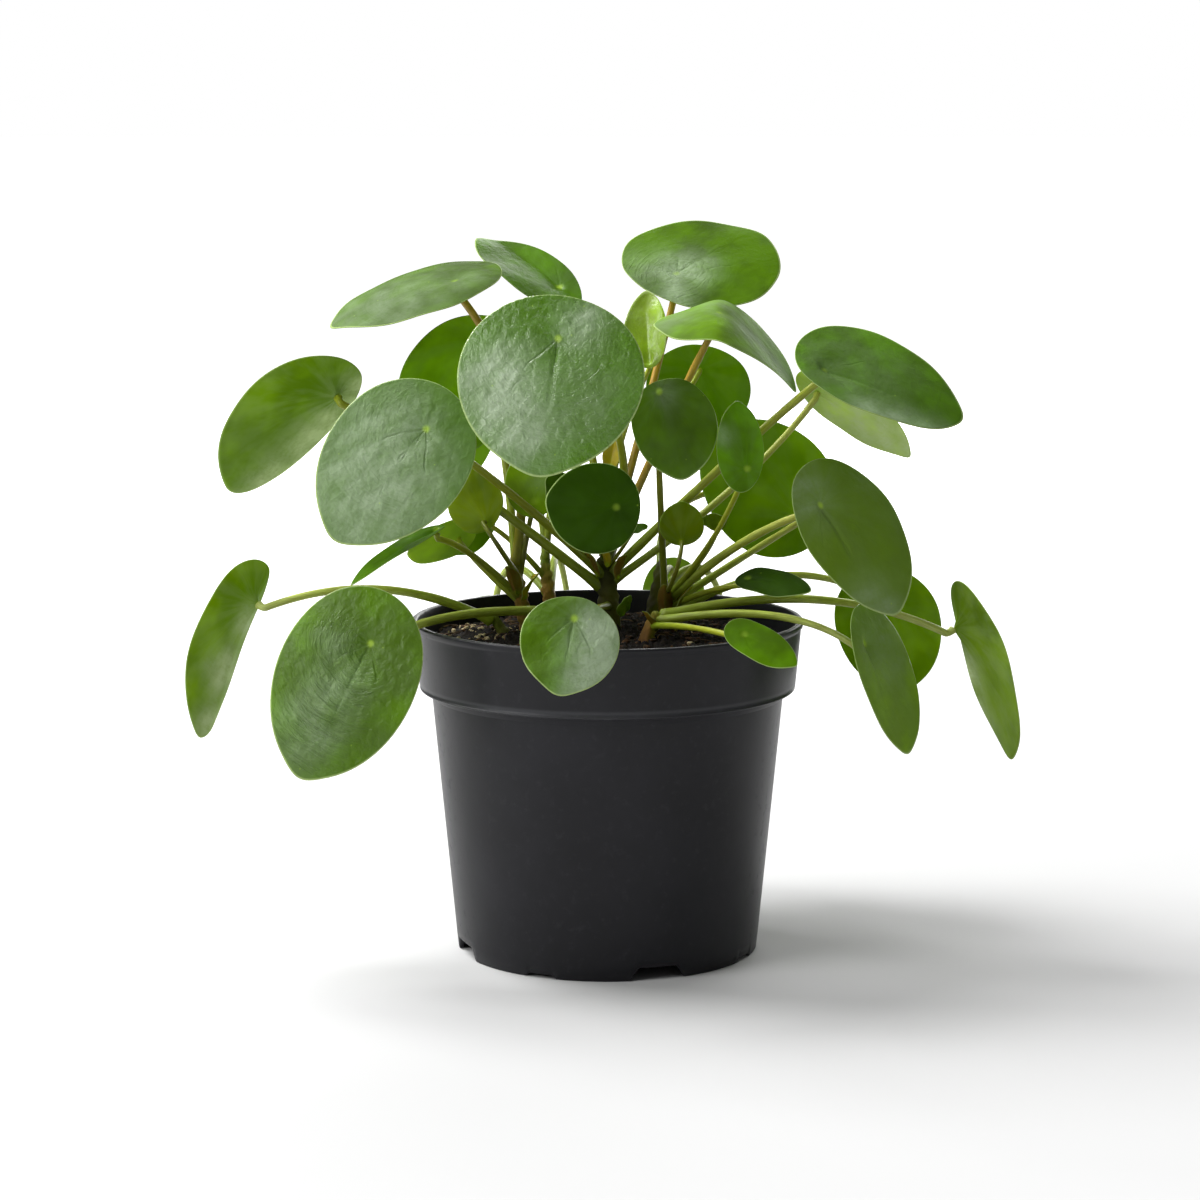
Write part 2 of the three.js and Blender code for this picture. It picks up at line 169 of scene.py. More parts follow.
def closedShell(points, **marks):
    # points[row, spoke]: rows run from one pole to the other, spokes go round.
    # Each row is joined to the next with four-sided faces, and the first and last rows,
    # which are single points, close it with fans. marks are more values on the same grid.
    rows, spokes = points.shape[0] - 2, points.shape[1]

    def flat(grid):
        poles = np.stack([grid[0, 0], grid[-1, 0]])
        return np.concatenate([grid[1:-1].reshape(rows * spokes, -1), poles.reshape(2, -1)])

    row, spoke = np.meshgrid(np.arange(rows - 1), np.arange(spokes), indexing="ij")
    a = row * spokes + spoke
    b = row * spokes + (spoke + 1) % spokes
    quads = np.stack([a, b, b + spokes, a + spokes], -1).reshape(-1, 4)
    here = np.arange(spokes)
    after = (here + 1) % spokes
    pole = np.full(spokes, rows * spokes)
    top = (rows - 1) * spokes
    fans = [np.stack([pole, after, here], -1), np.stack([pole + 1, top + here, top + after], -1)]
    values = {name: flat(grid) for name, grid in marks.items()}
    return {"points": flat(points), "quads": quads, "tris": np.concatenate(fans), "marks": values}


def joined(shells):
    # Several shells as one, their corner numbers moved on
    starts = np.cumsum([0] + [len(shell["points"]) for shell in shells])[:-1]
    whole = {"marks": {}}
    whole["points"] = np.concatenate([shell["points"] for shell in shells])
    for kind in ("quads", "tris"):
        whole[kind] = np.concatenate([s[kind] + start for s, start in zip(shells, starts)])
    for name in shells[0]["marks"]:
        whole["marks"][name] = np.concatenate([shell["marks"][name] for shell in shells])
    return whole


def addPiece(name, shell, materials, nodes=(), under=None):
    # The mesh with its marks as attributes; under names the mark that picks the material
    mesh = bpy.data.meshes.new(name)
    quads, tris = shell["quads"], shell["tris"]
    corners = np.concatenate([quads.ravel(), tris.ravel()]).astype(np.int32)
    starts = np.concatenate([np.arange(len(quads)) * 4, quads.size + np.arange(len(tris)) * 3])
    mesh.vertices.add(len(shell["points"]))
    mesh.vertices.foreach_set("co", (shell["points"] * mm).astype(np.float32).ravel())
    mesh.loops.add(len(corners))
    mesh.loops.foreach_set("vertex_index", corners)
    mesh.polygons.add(len(starts))
    mesh.polygons.foreach_set("loop_start", starts.astype(np.int32))
    mesh.update(calc_edges=True)
    mesh.validate()
    for label, values in shell["marks"].items():
        kind = "FLOAT_COLOR" if values.shape[1] == 4 else "FLOAT_VECTOR"
        layer = mesh.attributes.new(label, kind, "POINT")
        field = "color" if kind == "FLOAT_COLOR" else "vector"
        layer.data.foreach_set(field, values.astype(np.float32).ravel())
    mesh.polygons.foreach_set("use_smooth", np.ones(len(mesh.polygons), dtype=bool))
    for material in materials:
        mesh.materials.append(material)
    if under:
        side = shell["marks"][under][:, 0]
        lowest = np.concatenate([side[quads].min(1), side[tris].min(1)])
        mesh.polygons.foreach_set("material_index", (lowest < 0).astype(np.int32))
    piece = bpy.data.objects.new(name, mesh)
    bpy.context.collection.objects.link(piece)
    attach(piece, "root")
    if nodes:
        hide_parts(*nodes)


def ripples(x, y, rng, waves, wavelength):
    # Uneven waviness: the sum of plane sine waves that run in random directions
    total = np.zeros_like(x)
    for _ in range(waves):
        turn, phase = rng.uniform(0, 2 * math.pi, 2)
        pace = 2 * math.pi * rng.uniform(0.7, 1.4) / wavelength
        total += np.sin(pace * (x * math.cos(turn) + y * math.sin(turn)) + phase)
    return total / math.sqrt(waves)


def unit(vector):
    return vector / np.linalg.norm(vector)


def around(count):
    # The angles of that many spokes, evenly round a circle
    return 2 * math.pi * np.arange(count) / count


# Leaves. Millimetres and degrees, the same plan as the solids: on and up say which stem the
# stalk grows from and how far up, by is a point that the stalk passes, joint is where it meets
# the blade, and tip is the blade's tip. Then come the width, the roll about the midrib and what
# bends the blade. tone names its colour, and light scales it as painted light and shade, brighter
# or darker by how much light reaches that leaf; on the upper side only up to a limit. skin and
# underSkin name the materials. crinkle is how puckered it is, ringed how wrinkled round the
# joint, mottle how uneven its colour, rib how deep the midrib's furrow. paintedSheen and
# underPaintedSheen list pale patches of painted sheen, which stand in for the lights' reflection
# on the waxy skin: millimetres along and across from the joint, radius, share. plainLeaf holds
# what a row leaves out.

plainLeaf = {"back": 0.26, "side": 0, "dome": 0.15, "fold": 0, "wave": 0, "rib": 0.15,
             "crinkle": 0.15, "ringed": 0.3, "mottle": 1, "tone": "mid", "light": 1,
             "skin": "satin", "underSkin": "glow", "stalk": "olive", "paintedSheen": [],
             "underPaintedSheen": []}
leafPlan = {
    "top_right": dict(
        on="main", up=0.95, joint=(27, 46, 257), tip=(61, 68, 275), wide=68, roll=22,
        by=(15, 28, 205), tone="warm", light=0.62, skin="deep", crinkle=0.2, ringed=1.2,
        stalk="red", paintedSheen=[(2, -2, 13, 0.6), (-13, -14, 8, 0.6), (-6, 14, 14, 0.2)]),
    "waved": dict(
        on="main", up=0.9, joint=(42, -6, 245), tip=(41, -34, 239), wide=58, roll=-12, back=0.49,
        side=6, dome=0.2, fold=-0.6, wave=2, by=(22, 8, 200), tone="warm", light=1.14, skin="deep",
        stalk="red", paintedSheen=[(0, -20, 13, 0.25), (2, 22, 15, 0.35), (-14, 0, 12, 0.2)]),
    "high_right": dict(
        on="main", up=0.7, joint=(81, -15, 224), tip=(133, -20, 206), wide=48, roll=32, back=0.19,
        side=7, fold=0.1, rib=0.5, by=(44, -2, 187), light=0.99, skin="deep",
        paintedSheen=[(22, -18, 10, 0.5), (36, -14, 10, 0.5), (10, 0, 30, 0.14), (48, -8, 8, 0.4)]),
    "under_right": dict(
        on="main", up=0.6, joint=(81, 20, 213), tip=(117, 30, 189), wide=30, roll=-28, back=0.2,
        side=-3, by=(47, 16, 175), tone="pale", light=1.45, underSkin="waxSheen", stalk="tan",
        underPaintedSheen=[(18, 0, 20, 0.6), (40, 0, 20, 0.6)]),
    "behind_waved": dict(
        on="main", up=0.8, joint=(37, 75, 217), tip=(36, 85, 188), wide=42, roll=10,
        by=(16, 48, 180), light=0.75),
    "young": dict(
        on="main", up=1, joint=(16, 18, 224), tip=(14, 26, 252), wide=17, roll=-30, back=0.06,
        fold=0.35, by=(4, 21, 188), tone="lime", light=1.03, skin="gloss"),
    "front_big": dict(
        on="main", up=0.9, joint=(-18, -58, 239), tip=(-25, -76, 192), wide=68, roll=-13, back=0.24,
        side=-1, rib=0.8, by=(5, -8, 195), light=0.91, skin="gloss", crinkle=0.7, mottle=0.35,
        paintedSheen=[(20, -20, 16, 0.9), (36, -8, 13, 0.7), (-6, 8, 9, 0.6), (20, 14, 18, 0.2)]),
    "dark_oval": dict(
        on="right", up=0.9, joint=(19, -26, 217), tip=(25, -37, 186), wide=34, roll=10, back=0.12,
        side=4, by=(20, -4, 174), tone="dusk", light=1.04, stalk="dark", paintedSheen=[(2, 2, 6, 0.2)]),
    "folded": dict(
        on="right", up=0.8, joint=(52, -24, 188), tip=(52, -16, 213), wide=18, roll=7, side=3,
        fold=0.4, rib=0.7, by=(40, -4, 159), tone="fresh", light=1.24, crinkle=0.2,
        paintedSheen=[(12, 9, 4, 0.5)]),
    "back_right": dict(
        on="right", up=0.6, joint=(78, 48, 160), tip=(42, 62, 193), wide=58, roll=76, back=0.16,
        by=(50, 32, 145), stalk="tan"),
    "right_big": dict(
        on="right", up=0.7, joint=(79, -30, 175), tip=(103, -46, 136), wide=48, roll=20, side=8,
        rib=0.5, by=(50, -6, 157), tone="dull", mottle=0.2, stalk="tan",
        paintedSheen=[(-8, -6, 14, 0.3), (44, 0, 12, 0.35)]),
    "back_left": dict(
        on="left", up=0.9, joint=(-50, 52, 231), tip=(-70, 70, 184), wide=58, roll=19, back=0.16,
        by=(-40, 34, 185), light=1.4),
    "top_left": dict(
        on="left", up=0.95, joint=(-59, 30, 255), tip=(-107, 20, 245), wide=60, roll=-14, back=0.28,
        side=-6, dome=0.3, rib=0.0, by=(-36, 22, 205), tone="warm", light=0.6, skin="deep",
        stalk="red", paintedSheen=[(30, 2, 30, 0.3), (-6, 4, 10, 0.15)]),
    "top_folded": dict(
        on="main", up=0.95, joint=(-19, 58, 251), tip=(-47, 78, 273), wide=30, roll=-20, side=6,
        fold=0.3, by=(-8, 26, 200), tone="fresh", light=0.73),
    "far_left": dict(
        on="main", up=0.5, joint=(-103, 5, 213), tip=(-142, 18, 176), wide=50, roll=26, back=0.21,
        side=8, fold=0.22, by=(-61, 8, 183), light=0.76, underSkin="waxSheen",
        underPaintedSheen=[(20, -17, 17, 1.0), (50, -13, 18, 1.0), (-10, -15, 15, 1.0)]),
    "left_big": dict(
        on="main", up=0.7, joint=(-67, -36, 204), tip=(-100, -50, 165), wide=55, roll=-53,
        back=0.24, side=-2, rib=0.0, by=(-37, -8, 177), tone="grey", light=1.06, crinkle=0.45,
        mottle=0.25, paintedSheen=[(28, -2, 27, 0.65), (4, -10, 14, 0.3)]),
    "left_thin": dict(
        on="left", up=0.5, joint=(-65, -4, 162), tip=(-97, -26, 149), wide=10, roll=-12, back=0.08,
        fold=0.2, by=(-52, 8, 151), tone="fresh"),
    "pale_left": dict(
        on="back_left", up=0.7, joint=(-51, 42, 161), tip=(-62, 40, 148), wide=22, roll=60,
        by=(-38, 42, 152), tone="fresh"),
    "round_left": dict(
        on="left", up=0.4, joint=(-58, 22, 156), tip=(-78, 12, 153), wide=24, roll=50,
        by=(-48, 20, 144), tone="pale", light=1.6),
    "olive_left": dict(
        on="left", up=0.9, joint=(-46, -2, 165), tip=(-56, 6, 184), wide=26, roll=93, back=0.1,
        by=(-41, -8, 156), tone="olive", light=1.08, stalk="dark"),
    "small_mid": dict(
        on="left", up=0.7, joint=(-28, 10, 172), tip=(-34, 14, 189), wide=19, roll=-51,
        by=(-31, 14, 158), tone="lime", light=0.85, skin="deep", stalk="dark",
        paintedSheen=[(8, -6, 7, 0.3)]),
    "shade_mid": dict(
        on="main", up=0.8, joint=(-14, -10, 174), tip=(-22, -13, 184), wide=18, roll=-60,
        by=(-6, 2, 163), tone="deep", skin="deep"),
    "dark_mid": dict(
        on="main", up=0.9, joint=(3, -60, 178), tip=(-22, -62, 183), wide=34, roll=-96, side=2,
        rib=0.0, by=(2, -20, 168), tone="deep", light=0.42, skin="deep"),
    "olive_mid": dict(
        on="right", up=0.9, joint=(28, -8, 158), tip=(28, -4, 173), wide=17, roll=-174, back=0.06,
        by=(26, -12, 148), tone="olive", light=0.82, stalk="dark"),
    "bud_right": dict(
        on="right", up=0.8, joint=(43, 4, 164), tip=(36, 4, 166), wide=8, roll=60, by=(36, 3, 150),
        tone="olive"),
    "bud_mid": dict(
        on="main", up=0.8, joint=(9, -8, 163), tip=(15, -8, 165), wide=6, roll=30, by=(5, 0, 154),
        tone="deep", skin="deep", stalk="dark"),
    "far_left_low": dict(
        on="front_left", up=0.8, joint=(-133, -15, 136), tip=(-155, -25, 87), wide=32, roll=50,
        back=0.22, side=5, fold=0.4, by=(-86, -7, 140), light=1.04, underSkin="waxSheen", stalk="pale",
        underPaintedSheen=[(28, 0, 10, 0.9), (50, 0, 9, 0.9), (8, -2, 8, 0.8)]),
    "left_low": dict(
        on="main", up=0.15, joint=(-87, -55, 127), tip=(-112, -65, 78), wide=55, roll=-51, side=-3,
        rib=0.3, by=(-52, -16, 132), tone="warm", light=0.92, crinkle=0.5, ringed=2.0, mottle=0.7,
        stalk="pale", paintedSheen=[(20, -4, 12, 0.3), (38, -8, 13, 0.35), (6, -14, 8, 0.2)]),
    "front_small": dict(
        on="main", up=0.3, joint=(-12, -98, 143), tip=(-17, -112, 119), wide=35, roll=-22,
        back=0.22, rib=0.3, by=(-6, -46, 138), tone="fresh", crinkle=0.4,
        paintedSheen=[(2, 12, 11, 1.0), (14, 12, 12, 1.0), (26, 8, 9, 0.9)]),
    "thin_right": dict(
        on="right", up=0.5, joint=(53, -13, 145), tip=(75, -30, 145), wide=16, roll=27, back=0.15,
        by=(38, 0, 138), tone="deep", light=0.72, skin="deep"),
    "small_right": dict(
        on="front_right", up=0.5, joint=(49, -78, 134), tip=(67, -90, 126), wide=15, roll=37,
        by=(32, -50, 132), tone="fresh", light=0.88, skin="deep"),
    "right_low": dict(
        on="front_right", up=0.7, joint=(96, -30, 123), tip=(110, -44, 84), wide=34, roll=-3,
        side=7, rib=0.4, by=(62, -27, 133), tone="dull", light=1.6, mottle=0.5, stalk="pale",
        paintedSheen=[(8, 8, 14, 0.25)]),
    "behind_low": dict(
        on="right", up=0.3, joint=(110, 27, 131), tip=(118, 32, 94), wide=44, roll=-33, side=2,
        by=(68, 24, 141), light=1.2, stalk="pale"),
    "far_right": dict(
        on="front_right", up=0.9, joint=(135, 14, 122), tip=(153, 20, 73), wide=38, roll=-7,
        back=0.29, side=-16, by=(78, -6, 136), tone="fresh", light=0.72, underSkin="waxSheen",
        stalk="pale", underPaintedSheen=[(20, 3, 9, 0.8), (38, 3, 9, 0.8), (54, 2, 8, 0.6)]),
    "over_rim": dict(
        on="back_right", up=0.4, joint=(27, 88, 129), tip=(28, 98, 99), wide=26, roll=-7,
        by=(25, 72, 137), tone="pale"),
    "back_low_left": dict(
        on="back_left", up=0.4, joint=(-48, 98, 108), tip=(-54, 103, 68), wide=46, roll=36,
        by=(-40, 76, 136), crinkle=0.6, stalk="pale"),
    "back_low_mid": dict(
        on="back_left", up=0.2, joint=(-14, 108, 106), tip=(-14, 111, 66), wide=44, roll=4,
        by=(-20, 84, 140), crinkle=0.3, stalk="pale"),
    "back_low_right": dict(
        on="back_right", up=0.3, joint=(50, 99, 107), tip=(55, 104, 67), wide=48, roll=-36,
        by=(39, 76, 136), tone="grey", crinkle=0.7, stalk="pale"),
    "back_high_left": dict(
        on="back_left", up=0.9, joint=(-66, 92, 194), tip=(-80, 112, 160), wide=50, roll=8,
        by=(-34, 72, 176)),
    "back_high_mid": dict(
        on="back_left", up=1, joint=(-14, 90, 214), tip=(-12, 116, 182), wide=52, roll=-6,
        by=(-20, 70, 180), crinkle=0.5),
    "back_mid_right": dict(
        on="back_right", up=0.9, joint=(66, 93, 170), tip=(80, 110, 144), wide=44, roll=-14,
        by=(30, 76, 162), tone="fresh"),
}

leaves = {name: {**plainLeaf, **leaf} for name, leaf in leafPlan.items()}
bladeForm = {"thickness": 0.9, "half": 0.47, "point": 0.03, "pointTurn": 0.3, "egg": 0.08,
             "dimple": 0.02, "dimpleWide": 0.18, "crease": 0.08, "undulate": 0.4,
             "pucker": 0.16, "puckerWide": 5, "ribWide": 1.1, "ribReach": 0.45, "ribStart": 3,
             "edge": 0.15, "patchWander": 0.22, "patchWide": 12.0, "brightest": 1.6,
             "large": 36, "largeGrid": (34, 120), "smallGrid": (18, 64)}

# Upper and lower side of each tone
leafTones = {
    "mid": ("527c10", "7ca506"),
    "warm": ("5a7c14", "7ca208"),
    "deep": ("34500a", "4c6e04"),
    "dusk": ("48620e", "587c06"),
    "grey": ("516f26", "6a9018"),
    "dull": ("667f22", "729018"),
    "fresh": ("5a860c", "80a406"),
    "lime": ("8cac20", "98b410"),
    "olive": ("5c6c06", "7c9008"),
    "pale": ("7c9c2c", "a4c440"),
    "straw": ("c4ac1c", "d0b41c"),
    "sheath": ("8c5a20", "8c5a20"),
}


def bladeFrame(leaf):
    # Along the midrib to the tip, across it, and out of the upper side; the full length
    joint = np.array(leaf["joint"], float)
    reach = np.array(leaf["tip"], float) - joint
    along = unit(reach)
    level = unit(np.array((0.0, 0.0, 1.0)) - along[2] * along)
    side = np.cross(along, level)
    turn = math.radians(leaf["roll"])
    upper = level * math.cos(turn) + side * math.sin(turn)
    return {"joint": joint, "along": along, "across": np.cross(upper, along), "upper": upper,
            "length": np.linalg.norm(reach) / (1 - leaf["back"])}


def bladeMap(leaf, axes, out, angle):
    # Where a point of the blade lies in its own plane. out is 0 at the joint and 1 at the
    # edge, angle goes round from the tip. Along: out times the length times (0.5 less the
    # share behind the joint, plus 0.47 cosine, plus a narrow bump at the tip). Across: out
    # times half the width times sine, fuller towards the base.
    form = bladeForm
    fromTip = np.minimum(angle, 2 * math.pi - angle)
    nose = np.exp(-(fromTip / form["pointTurn"]) ** 2) - (1 - np.cos(angle)) / 2
    half = form["half"] * np.cos(angle) + form["point"] * nose
    p = out * axes["length"] * (0.5 - leaf["back"] + half)
    egg = 1 - form["egg"] * np.cos(angle)
    c = out * (0.5 * leaf["wide"] * np.sin(angle) * egg + leaf["side"])
    return p, c


def bladeHeight(leaf, axes, out, angle, p, c, rng):
    # Height over the blade's plane: a dome that falls with the square of the distance from
    # the joint, a dimple at the joint, a fold along the midrib, three waves round the edge,
    # a narrow furrow along the midrib, and finer unevenness of the living leaf, which fades
    # out at the joint
    form, length = bladeForm, axes["length"]
    dome = -leaf["dome"] * (p * p + c * c) / length
    rise = form["dimple"] * length * (1 - np.exp(-(out / form["dimpleWide"]) ** 2))
    crease = form["crease"] * leaf["wide"]
    fold = leaf["fold"] * (np.hypot(c, crease) - crease)
    wave = leaf["wave"] * out ** 2 * np.sin(3 * angle)
    slow = form["undulate"] * ripples(p, c, rng, 4, 0.5 * length) * out ** 1.5
    fine = form["pucker"] * leaf["crinkle"] * ripples(p, c, rng, 9, form["puckerWide"])
    reach = np.clip(p / form["ribStart"], 0, 1) * np.exp(-(out / form["ribReach"]) ** 4)
    rib = -leaf["rib"] * reach * np.exp(-(c / form["ribWide"]) ** 2)
    return dome + rise + fold + wave + slow + rib + fine * np.clip(6 * out * (1.02 - out), 0, 1)


def paintedSheenShare(patches, p, c, rng):
    # Pale patches of painted sheen, standing in for the lights' reflection on the waxy skin: each
    # fades like a bell round its middle, and a slow ripple makes it uneven
    wander = 1 + bladeForm["patchWander"] * ripples(p, c, rng, 7, bladeForm["patchWide"])
    rest = np.ones_like(p)
    for along, across, radius, share in patches:
        far = ((p - along) ** 2 + (c - across) ** 2) / radius ** 2
        rest = rest * (1 - share * np.exp(-far ** 1.3) * np.clip(wander, 0, 1.4) / 1.1)
    return 1 - rest


def bladeShell(leaf, seed):
    # Rings from the joint out to the edge on the underside, then back in on the upper side.
    # The blade is thickest at the joint and thins out at the edge.
    form = bladeForm
    rng = np.random.default_rng(seed)
    axes = bladeFrame(leaf)
    rings, spokes = form["largeGrid" if axes["length"] > form["large"] else "smallGrid"]
    steps = np.linspace(0, 1, rings + 1)
    out = np.concatenate([steps, [1.0], steps[::-1]])[:, None]
    side = np.concatenate([-np.ones(rings + 1), [0.0], np.ones(rings + 1)])[:, None]
    angle = around(spokes)[None, :]
    p, c = bladeMap(leaf, axes, out, angle)
    height = bladeHeight(leaf, axes, out, angle, p, c, rng)
    thin = form["thickness"] * (0.6 + 0.4 * np.exp(-(out / 0.1) ** 2) - 0.25 * out ** 8)
    height = height - thin * (1 - side) / 2
    rim = 1 + form["edge"] * (side == 0) / axes["length"]
    points = (axes["joint"] + (p * rim)[..., None] * axes["along"]
              + (c * rim)[..., None] * axes["across"] + height[..., None] * axes["upper"])
    blank = np.ones_like(p)
    shift = rng.uniform(0.95, 1.05, 3)
    # Painted light and shade: light brightens or darkens the whole leaf by how much light reaches it,
    # on the upper side no further than brightest
    lights = (min(leaf["light"], form["brightest"]), leaf["light"])
    top, below = (np.array(hexColour(text)) * shift * part
                  for text, part in zip(leafTones[leaf["tone"]], lights))
    tint = np.where(side[..., None] > 0, top, below) * blank[..., None]
    tint = np.concatenate([tint, blank[..., None]], -1)
    place = np.stack([p, c, out * blank], -1)
    sides = np.stack([side * blank, leaf["crinkle"] * blank, rng.uniform(0, 50) * blank], -1)
    upper, under = (paintedSheenShare(leaf[kind], p, c, rng) for kind in ("paintedSheen", "underPaintedSheen"))
    # The wrinkles round the joint show in and round the painted sheen patches of the upper side
    wrinkled = [(*patch[:2], 1.3 * patch[2], 1) for patch in leaf["paintedSheen"]]
    ringed = leaf["ringed"] * paintedSheenShare(wrinkled, p, c, rng)
    skin = np.stack([np.where(side > 0, upper, under), ringed, leaf["mottle"] * blank], -1)
    return closedShell(points, bladePlace=place, bladeSide=sides, bladeTint=tint, bladeSkin=skin)


def makeBlade(name, leaf, seed):
    skins = [leafSkins[leaf["skin"]], leafSkins[leaf["underSkin"]]]
    addPiece("blade_" + name, bladeShell(leaf, seed), skins, ["leaf_" + name],
             under="bladeSide")


# Leaf materials. A vein is its angle from the midrib and its bend. In other pairs a mask is 0
# at the first value and 1 at the second. Patterns are finer the higher their scale is.

lineForm = {"veins": ((0.0, 0.0), (0.62, 0.28)), "veinWide": 0.8, "wander": 0.35,
            "wanderScale": 0.12, "patchScale": 0.09, "patch": (0.42, 0.6), "fade": (0.75, 0.35),
            "ringPace": 0.45, "ringTurns": 1.8, "rayPace": 0.05, "rayTurns": 3.6,
            "ray": (0.35, 0.65), "dot": (2.0, 0.3), "rim": (0.984, 0.995), "speckScale": 0.13,
            "speck": (0.06, 0.025)}
skinForm = {"mottleScale": 0.045, "mottle": (0.36, 0.66), "grainScale": 0.6, "grain": (0.4, 1.0),
            "wrinkle": (0.56, 0.36), "waxScale": 0.35, "pebbleScale": 0.36, "strength": 0.7}


def makeVeinGroup(form):
    # Lines that run from the joint like the leaf's main veins. Veins: 1 on a line.
    # Rings: wrinkles round the joint. Rays: streaks out from it. Dot: 1 at the joint.
    # Rim: 1 at the edge. Specks: small pale dots. Seeded: the place, shifted for each leaf.
    masks = {name: "Float" for name in ("Veins", "Rings", "Rays", "Dot", "Rim", "Specks")}
    group, given, wanted = newGroup("leafLines", {"Place": "Vector", "Seed": "Float"},
                                    {**masks, "Seeded": "Vector"})
    p, c, out = split(group, given["Place"])
    far = calc(group, "SQRT", plus(group, times(group, p, p), times(group, c, c)))
    shifted = combine(group, p, c, given["Seed"])
    wander = plus(group, noise(group, shifted, form["wanderScale"], 1), -0.5)
    turn = plus(group, calc(group, "ARCTAN2", calc(group, "ABSOLUTE", c), p),
                times(group, wander, form["wander"]))
    veins = 0.0
    for angle, bend in form["veins"]:
        aim = plus(group, plus(group, turn, times(group, out, bend)), -angle - bend / 2)
        away = times(group, calc(group, "ABSOLUTE", calc(group, "SINE", aim)), far)
        ahead = ramp(group, calc(group, "COSINE", aim), 0.0, 0.2)
        line = times(group, ramp(group, away, form["veinWide"], 0.0), ahead)
        veins = calc(group, "MAXIMUM", veins, line)
    patchy = ramp(group, noise(group, shifted, form["patchScale"], 1), *form["patch"])
    faded = times(group, ramp(group, out, *form["fade"]), patchy)
    x, y = (calc(group, "DIVIDE", value, plus(group, far, 0.5)) for value in (p, c))
    turns = form["ringTurns"]
    ringPlace = combine(group, times(group, far, form["ringPace"]), times(group, x, turns),
                        plus(group, times(group, y, turns), given["Seed"]))
    turns = form["rayTurns"]
    rayPlace = combine(group, times(group, x, turns), times(group, y, turns),
                       plus(group, times(group, far, form["rayPace"]), given["Seed"]))
    cells = addNode(group, "TexVoronoi", {"Vector": shifted, "Scale": form["speckScale"]})
    results = {"Veins": times(group, veins, faded),
               "Rings": noise(group, ringPlace, 1.0, 3, 0.6, 1.3),
               "Rays": ramp(group, noise(group, rayPlace, 1.0, 3, 0.6), *form["ray"]),
               "Dot": ramp(group, far, *form["dot"]),
               "Rim": ramp(group, out, *form["rim"]),
               "Specks": ramp(group, cells.outputs["Distance"], *form["speck"]),
               "Seeded": shifted}
    for name, value in results.items():
        feed(group, wanted[name], value)
    return group


def makeLeafMaterial(name, look):
    form = skinForm
    material, tree, shader = newMaterial(name, look)
    _, crinkle, seed = split(tree, attribute(tree, "bladeSide"))
    paintedSheen, ringed, mottled = split(tree, attribute(tree, "bladeSkin"))
    tint = attribute(tree, "bladeTint", "Color")
    inputs = {"Place": attribute(tree, "bladePlace"), "Seed": seed}
    lines = addNode(tree, "Group", inputs, node_tree=veinGroup).outputs
    seeded, rings = lines["Seeded"], lines["Rings"]
    mottle = ramp(tree, noise(tree, seeded, form["mottleScale"], 3, 0.6), *form["mottle"])
    uneven = mixColour(tree, mottle, look["shade"], look["fresh"])
    colour = mixColour(tree, mottled, tint, mixColour(tree, 1.0, tint, uneven, "MULTIPLY"))
    grain = plus(tree, noise(tree, seeded, form["grainScale"], 3, 0.6), times(tree, rings, 0.6))
    patchy = plus(tree, times(tree, ramp(tree, grain, *form["grain"]), 0.45),
                  times(tree, lines["Rays"], 0.25))
    # The share of painted sheen, made grainy: pale patches that stand in for the lights' reflection
    paintedSheenPatchy = times(tree, paintedSheen, plus(tree, patchy, 0.6), clamp=True)
    wrinkles = times(tree, ramp(tree, rings, *form["wrinkle"]), times(tree, ringed, crinkle))
    creases = times(tree, lines["Veins"], crinkle)
    # Layers from the lowest to the topmost: where it lies, its share and its colour
    # On the upper side the wrinkle and crease layers are painted shade: the dark line colour laid
    # into the wrinkles round the joint and the sunken creases of the veins
    layers = ((lines["Rays"], "rays", "paintedSheen"), (paintedSheenPatchy, "paintedSheenPatchy", "paintedSheen"),
              (wrinkles, "wrinkleShade", "line"), (creases, "veins", "line"),
              (lines["Specks"], "specks", "dot"), (lines["Rim"], "rimShare", "rim"),
              (lines["Dot"], "dotShare", "dot"))
    for mask, share, shown in layers:
        colour = mixColour(tree, times(tree, mask, look[share]), colour, look[shown])
    feed(tree, shader.inputs["Base Color"], colour)
    waxSheen = plus(tree, noise(tree, seeded, form["waxScale"], 4, 0.6), paintedSheen)
    inputs = {"Value": waxSheen, "From Min": 0.3, "From Max": 1.4, "To Min": look["roughness"] - 0.08,
              "To Max": look["roughness"] + 0.15}
    feed(tree, shader.inputs["Roughness"], addNode(tree, "MapRange", inputs).outputs["Result"])
    pebbles = noise(tree, seeded, form["pebbleScale"], 3, 0.5, 0.3)
    crumple = plus(tree, pebbles, times(tree, rings, times(tree, ringed, 2.0)))
    crumple = times(tree, crumple, plus(tree, crinkle, 0.08))
    height = plus(tree, crumple, times(tree, creases, look["sunk"]))
    bump(tree, shader, height, form["strength"], look["relief"])
    return material


# On the upper side line is a dark green, painted shade in the wrinkles and vein creases, and
# wrinkleShade and veins are its shares; on the underside line is the raised veins' own paler colour
# shade and fresh multiply a blade's tone where it is duller and where it is livelier
# paintedSheen is the colour of the pale patches of painted sheen, the lights' reflection on the waxy
# skin; the vein rays take this colour too
upperLook = {"roughness": 0.4, "specular": 0.22, "through": "86b010", "throughShare": 0.2,
             "shade": (0.7, 0.66, 1.0, 1.0), "fresh": (1.24, 1.31, 0.5, 1.0), "rays": 0.05,
             "paintedSheenPatchy": 1.0, "paintedSheen": "a6b898", "line": "24400c", "veins": 0.35, "wrinkleShade": 0.3,
             "specks": 0.35, "dot": "b4d848", "dotShare": 0.75, "rim": "b0c67c",
             "rimShare": 0.8, "sunk": -0.6, "relief": 1.6}
deepLook = {**upperLook, "specular": 0.03, "roughness": 0.6, "dotShare": 0.3, "rays": 0.01}
glossLook = {**upperLook, "specular": 0.55, "roughness": 0.3}
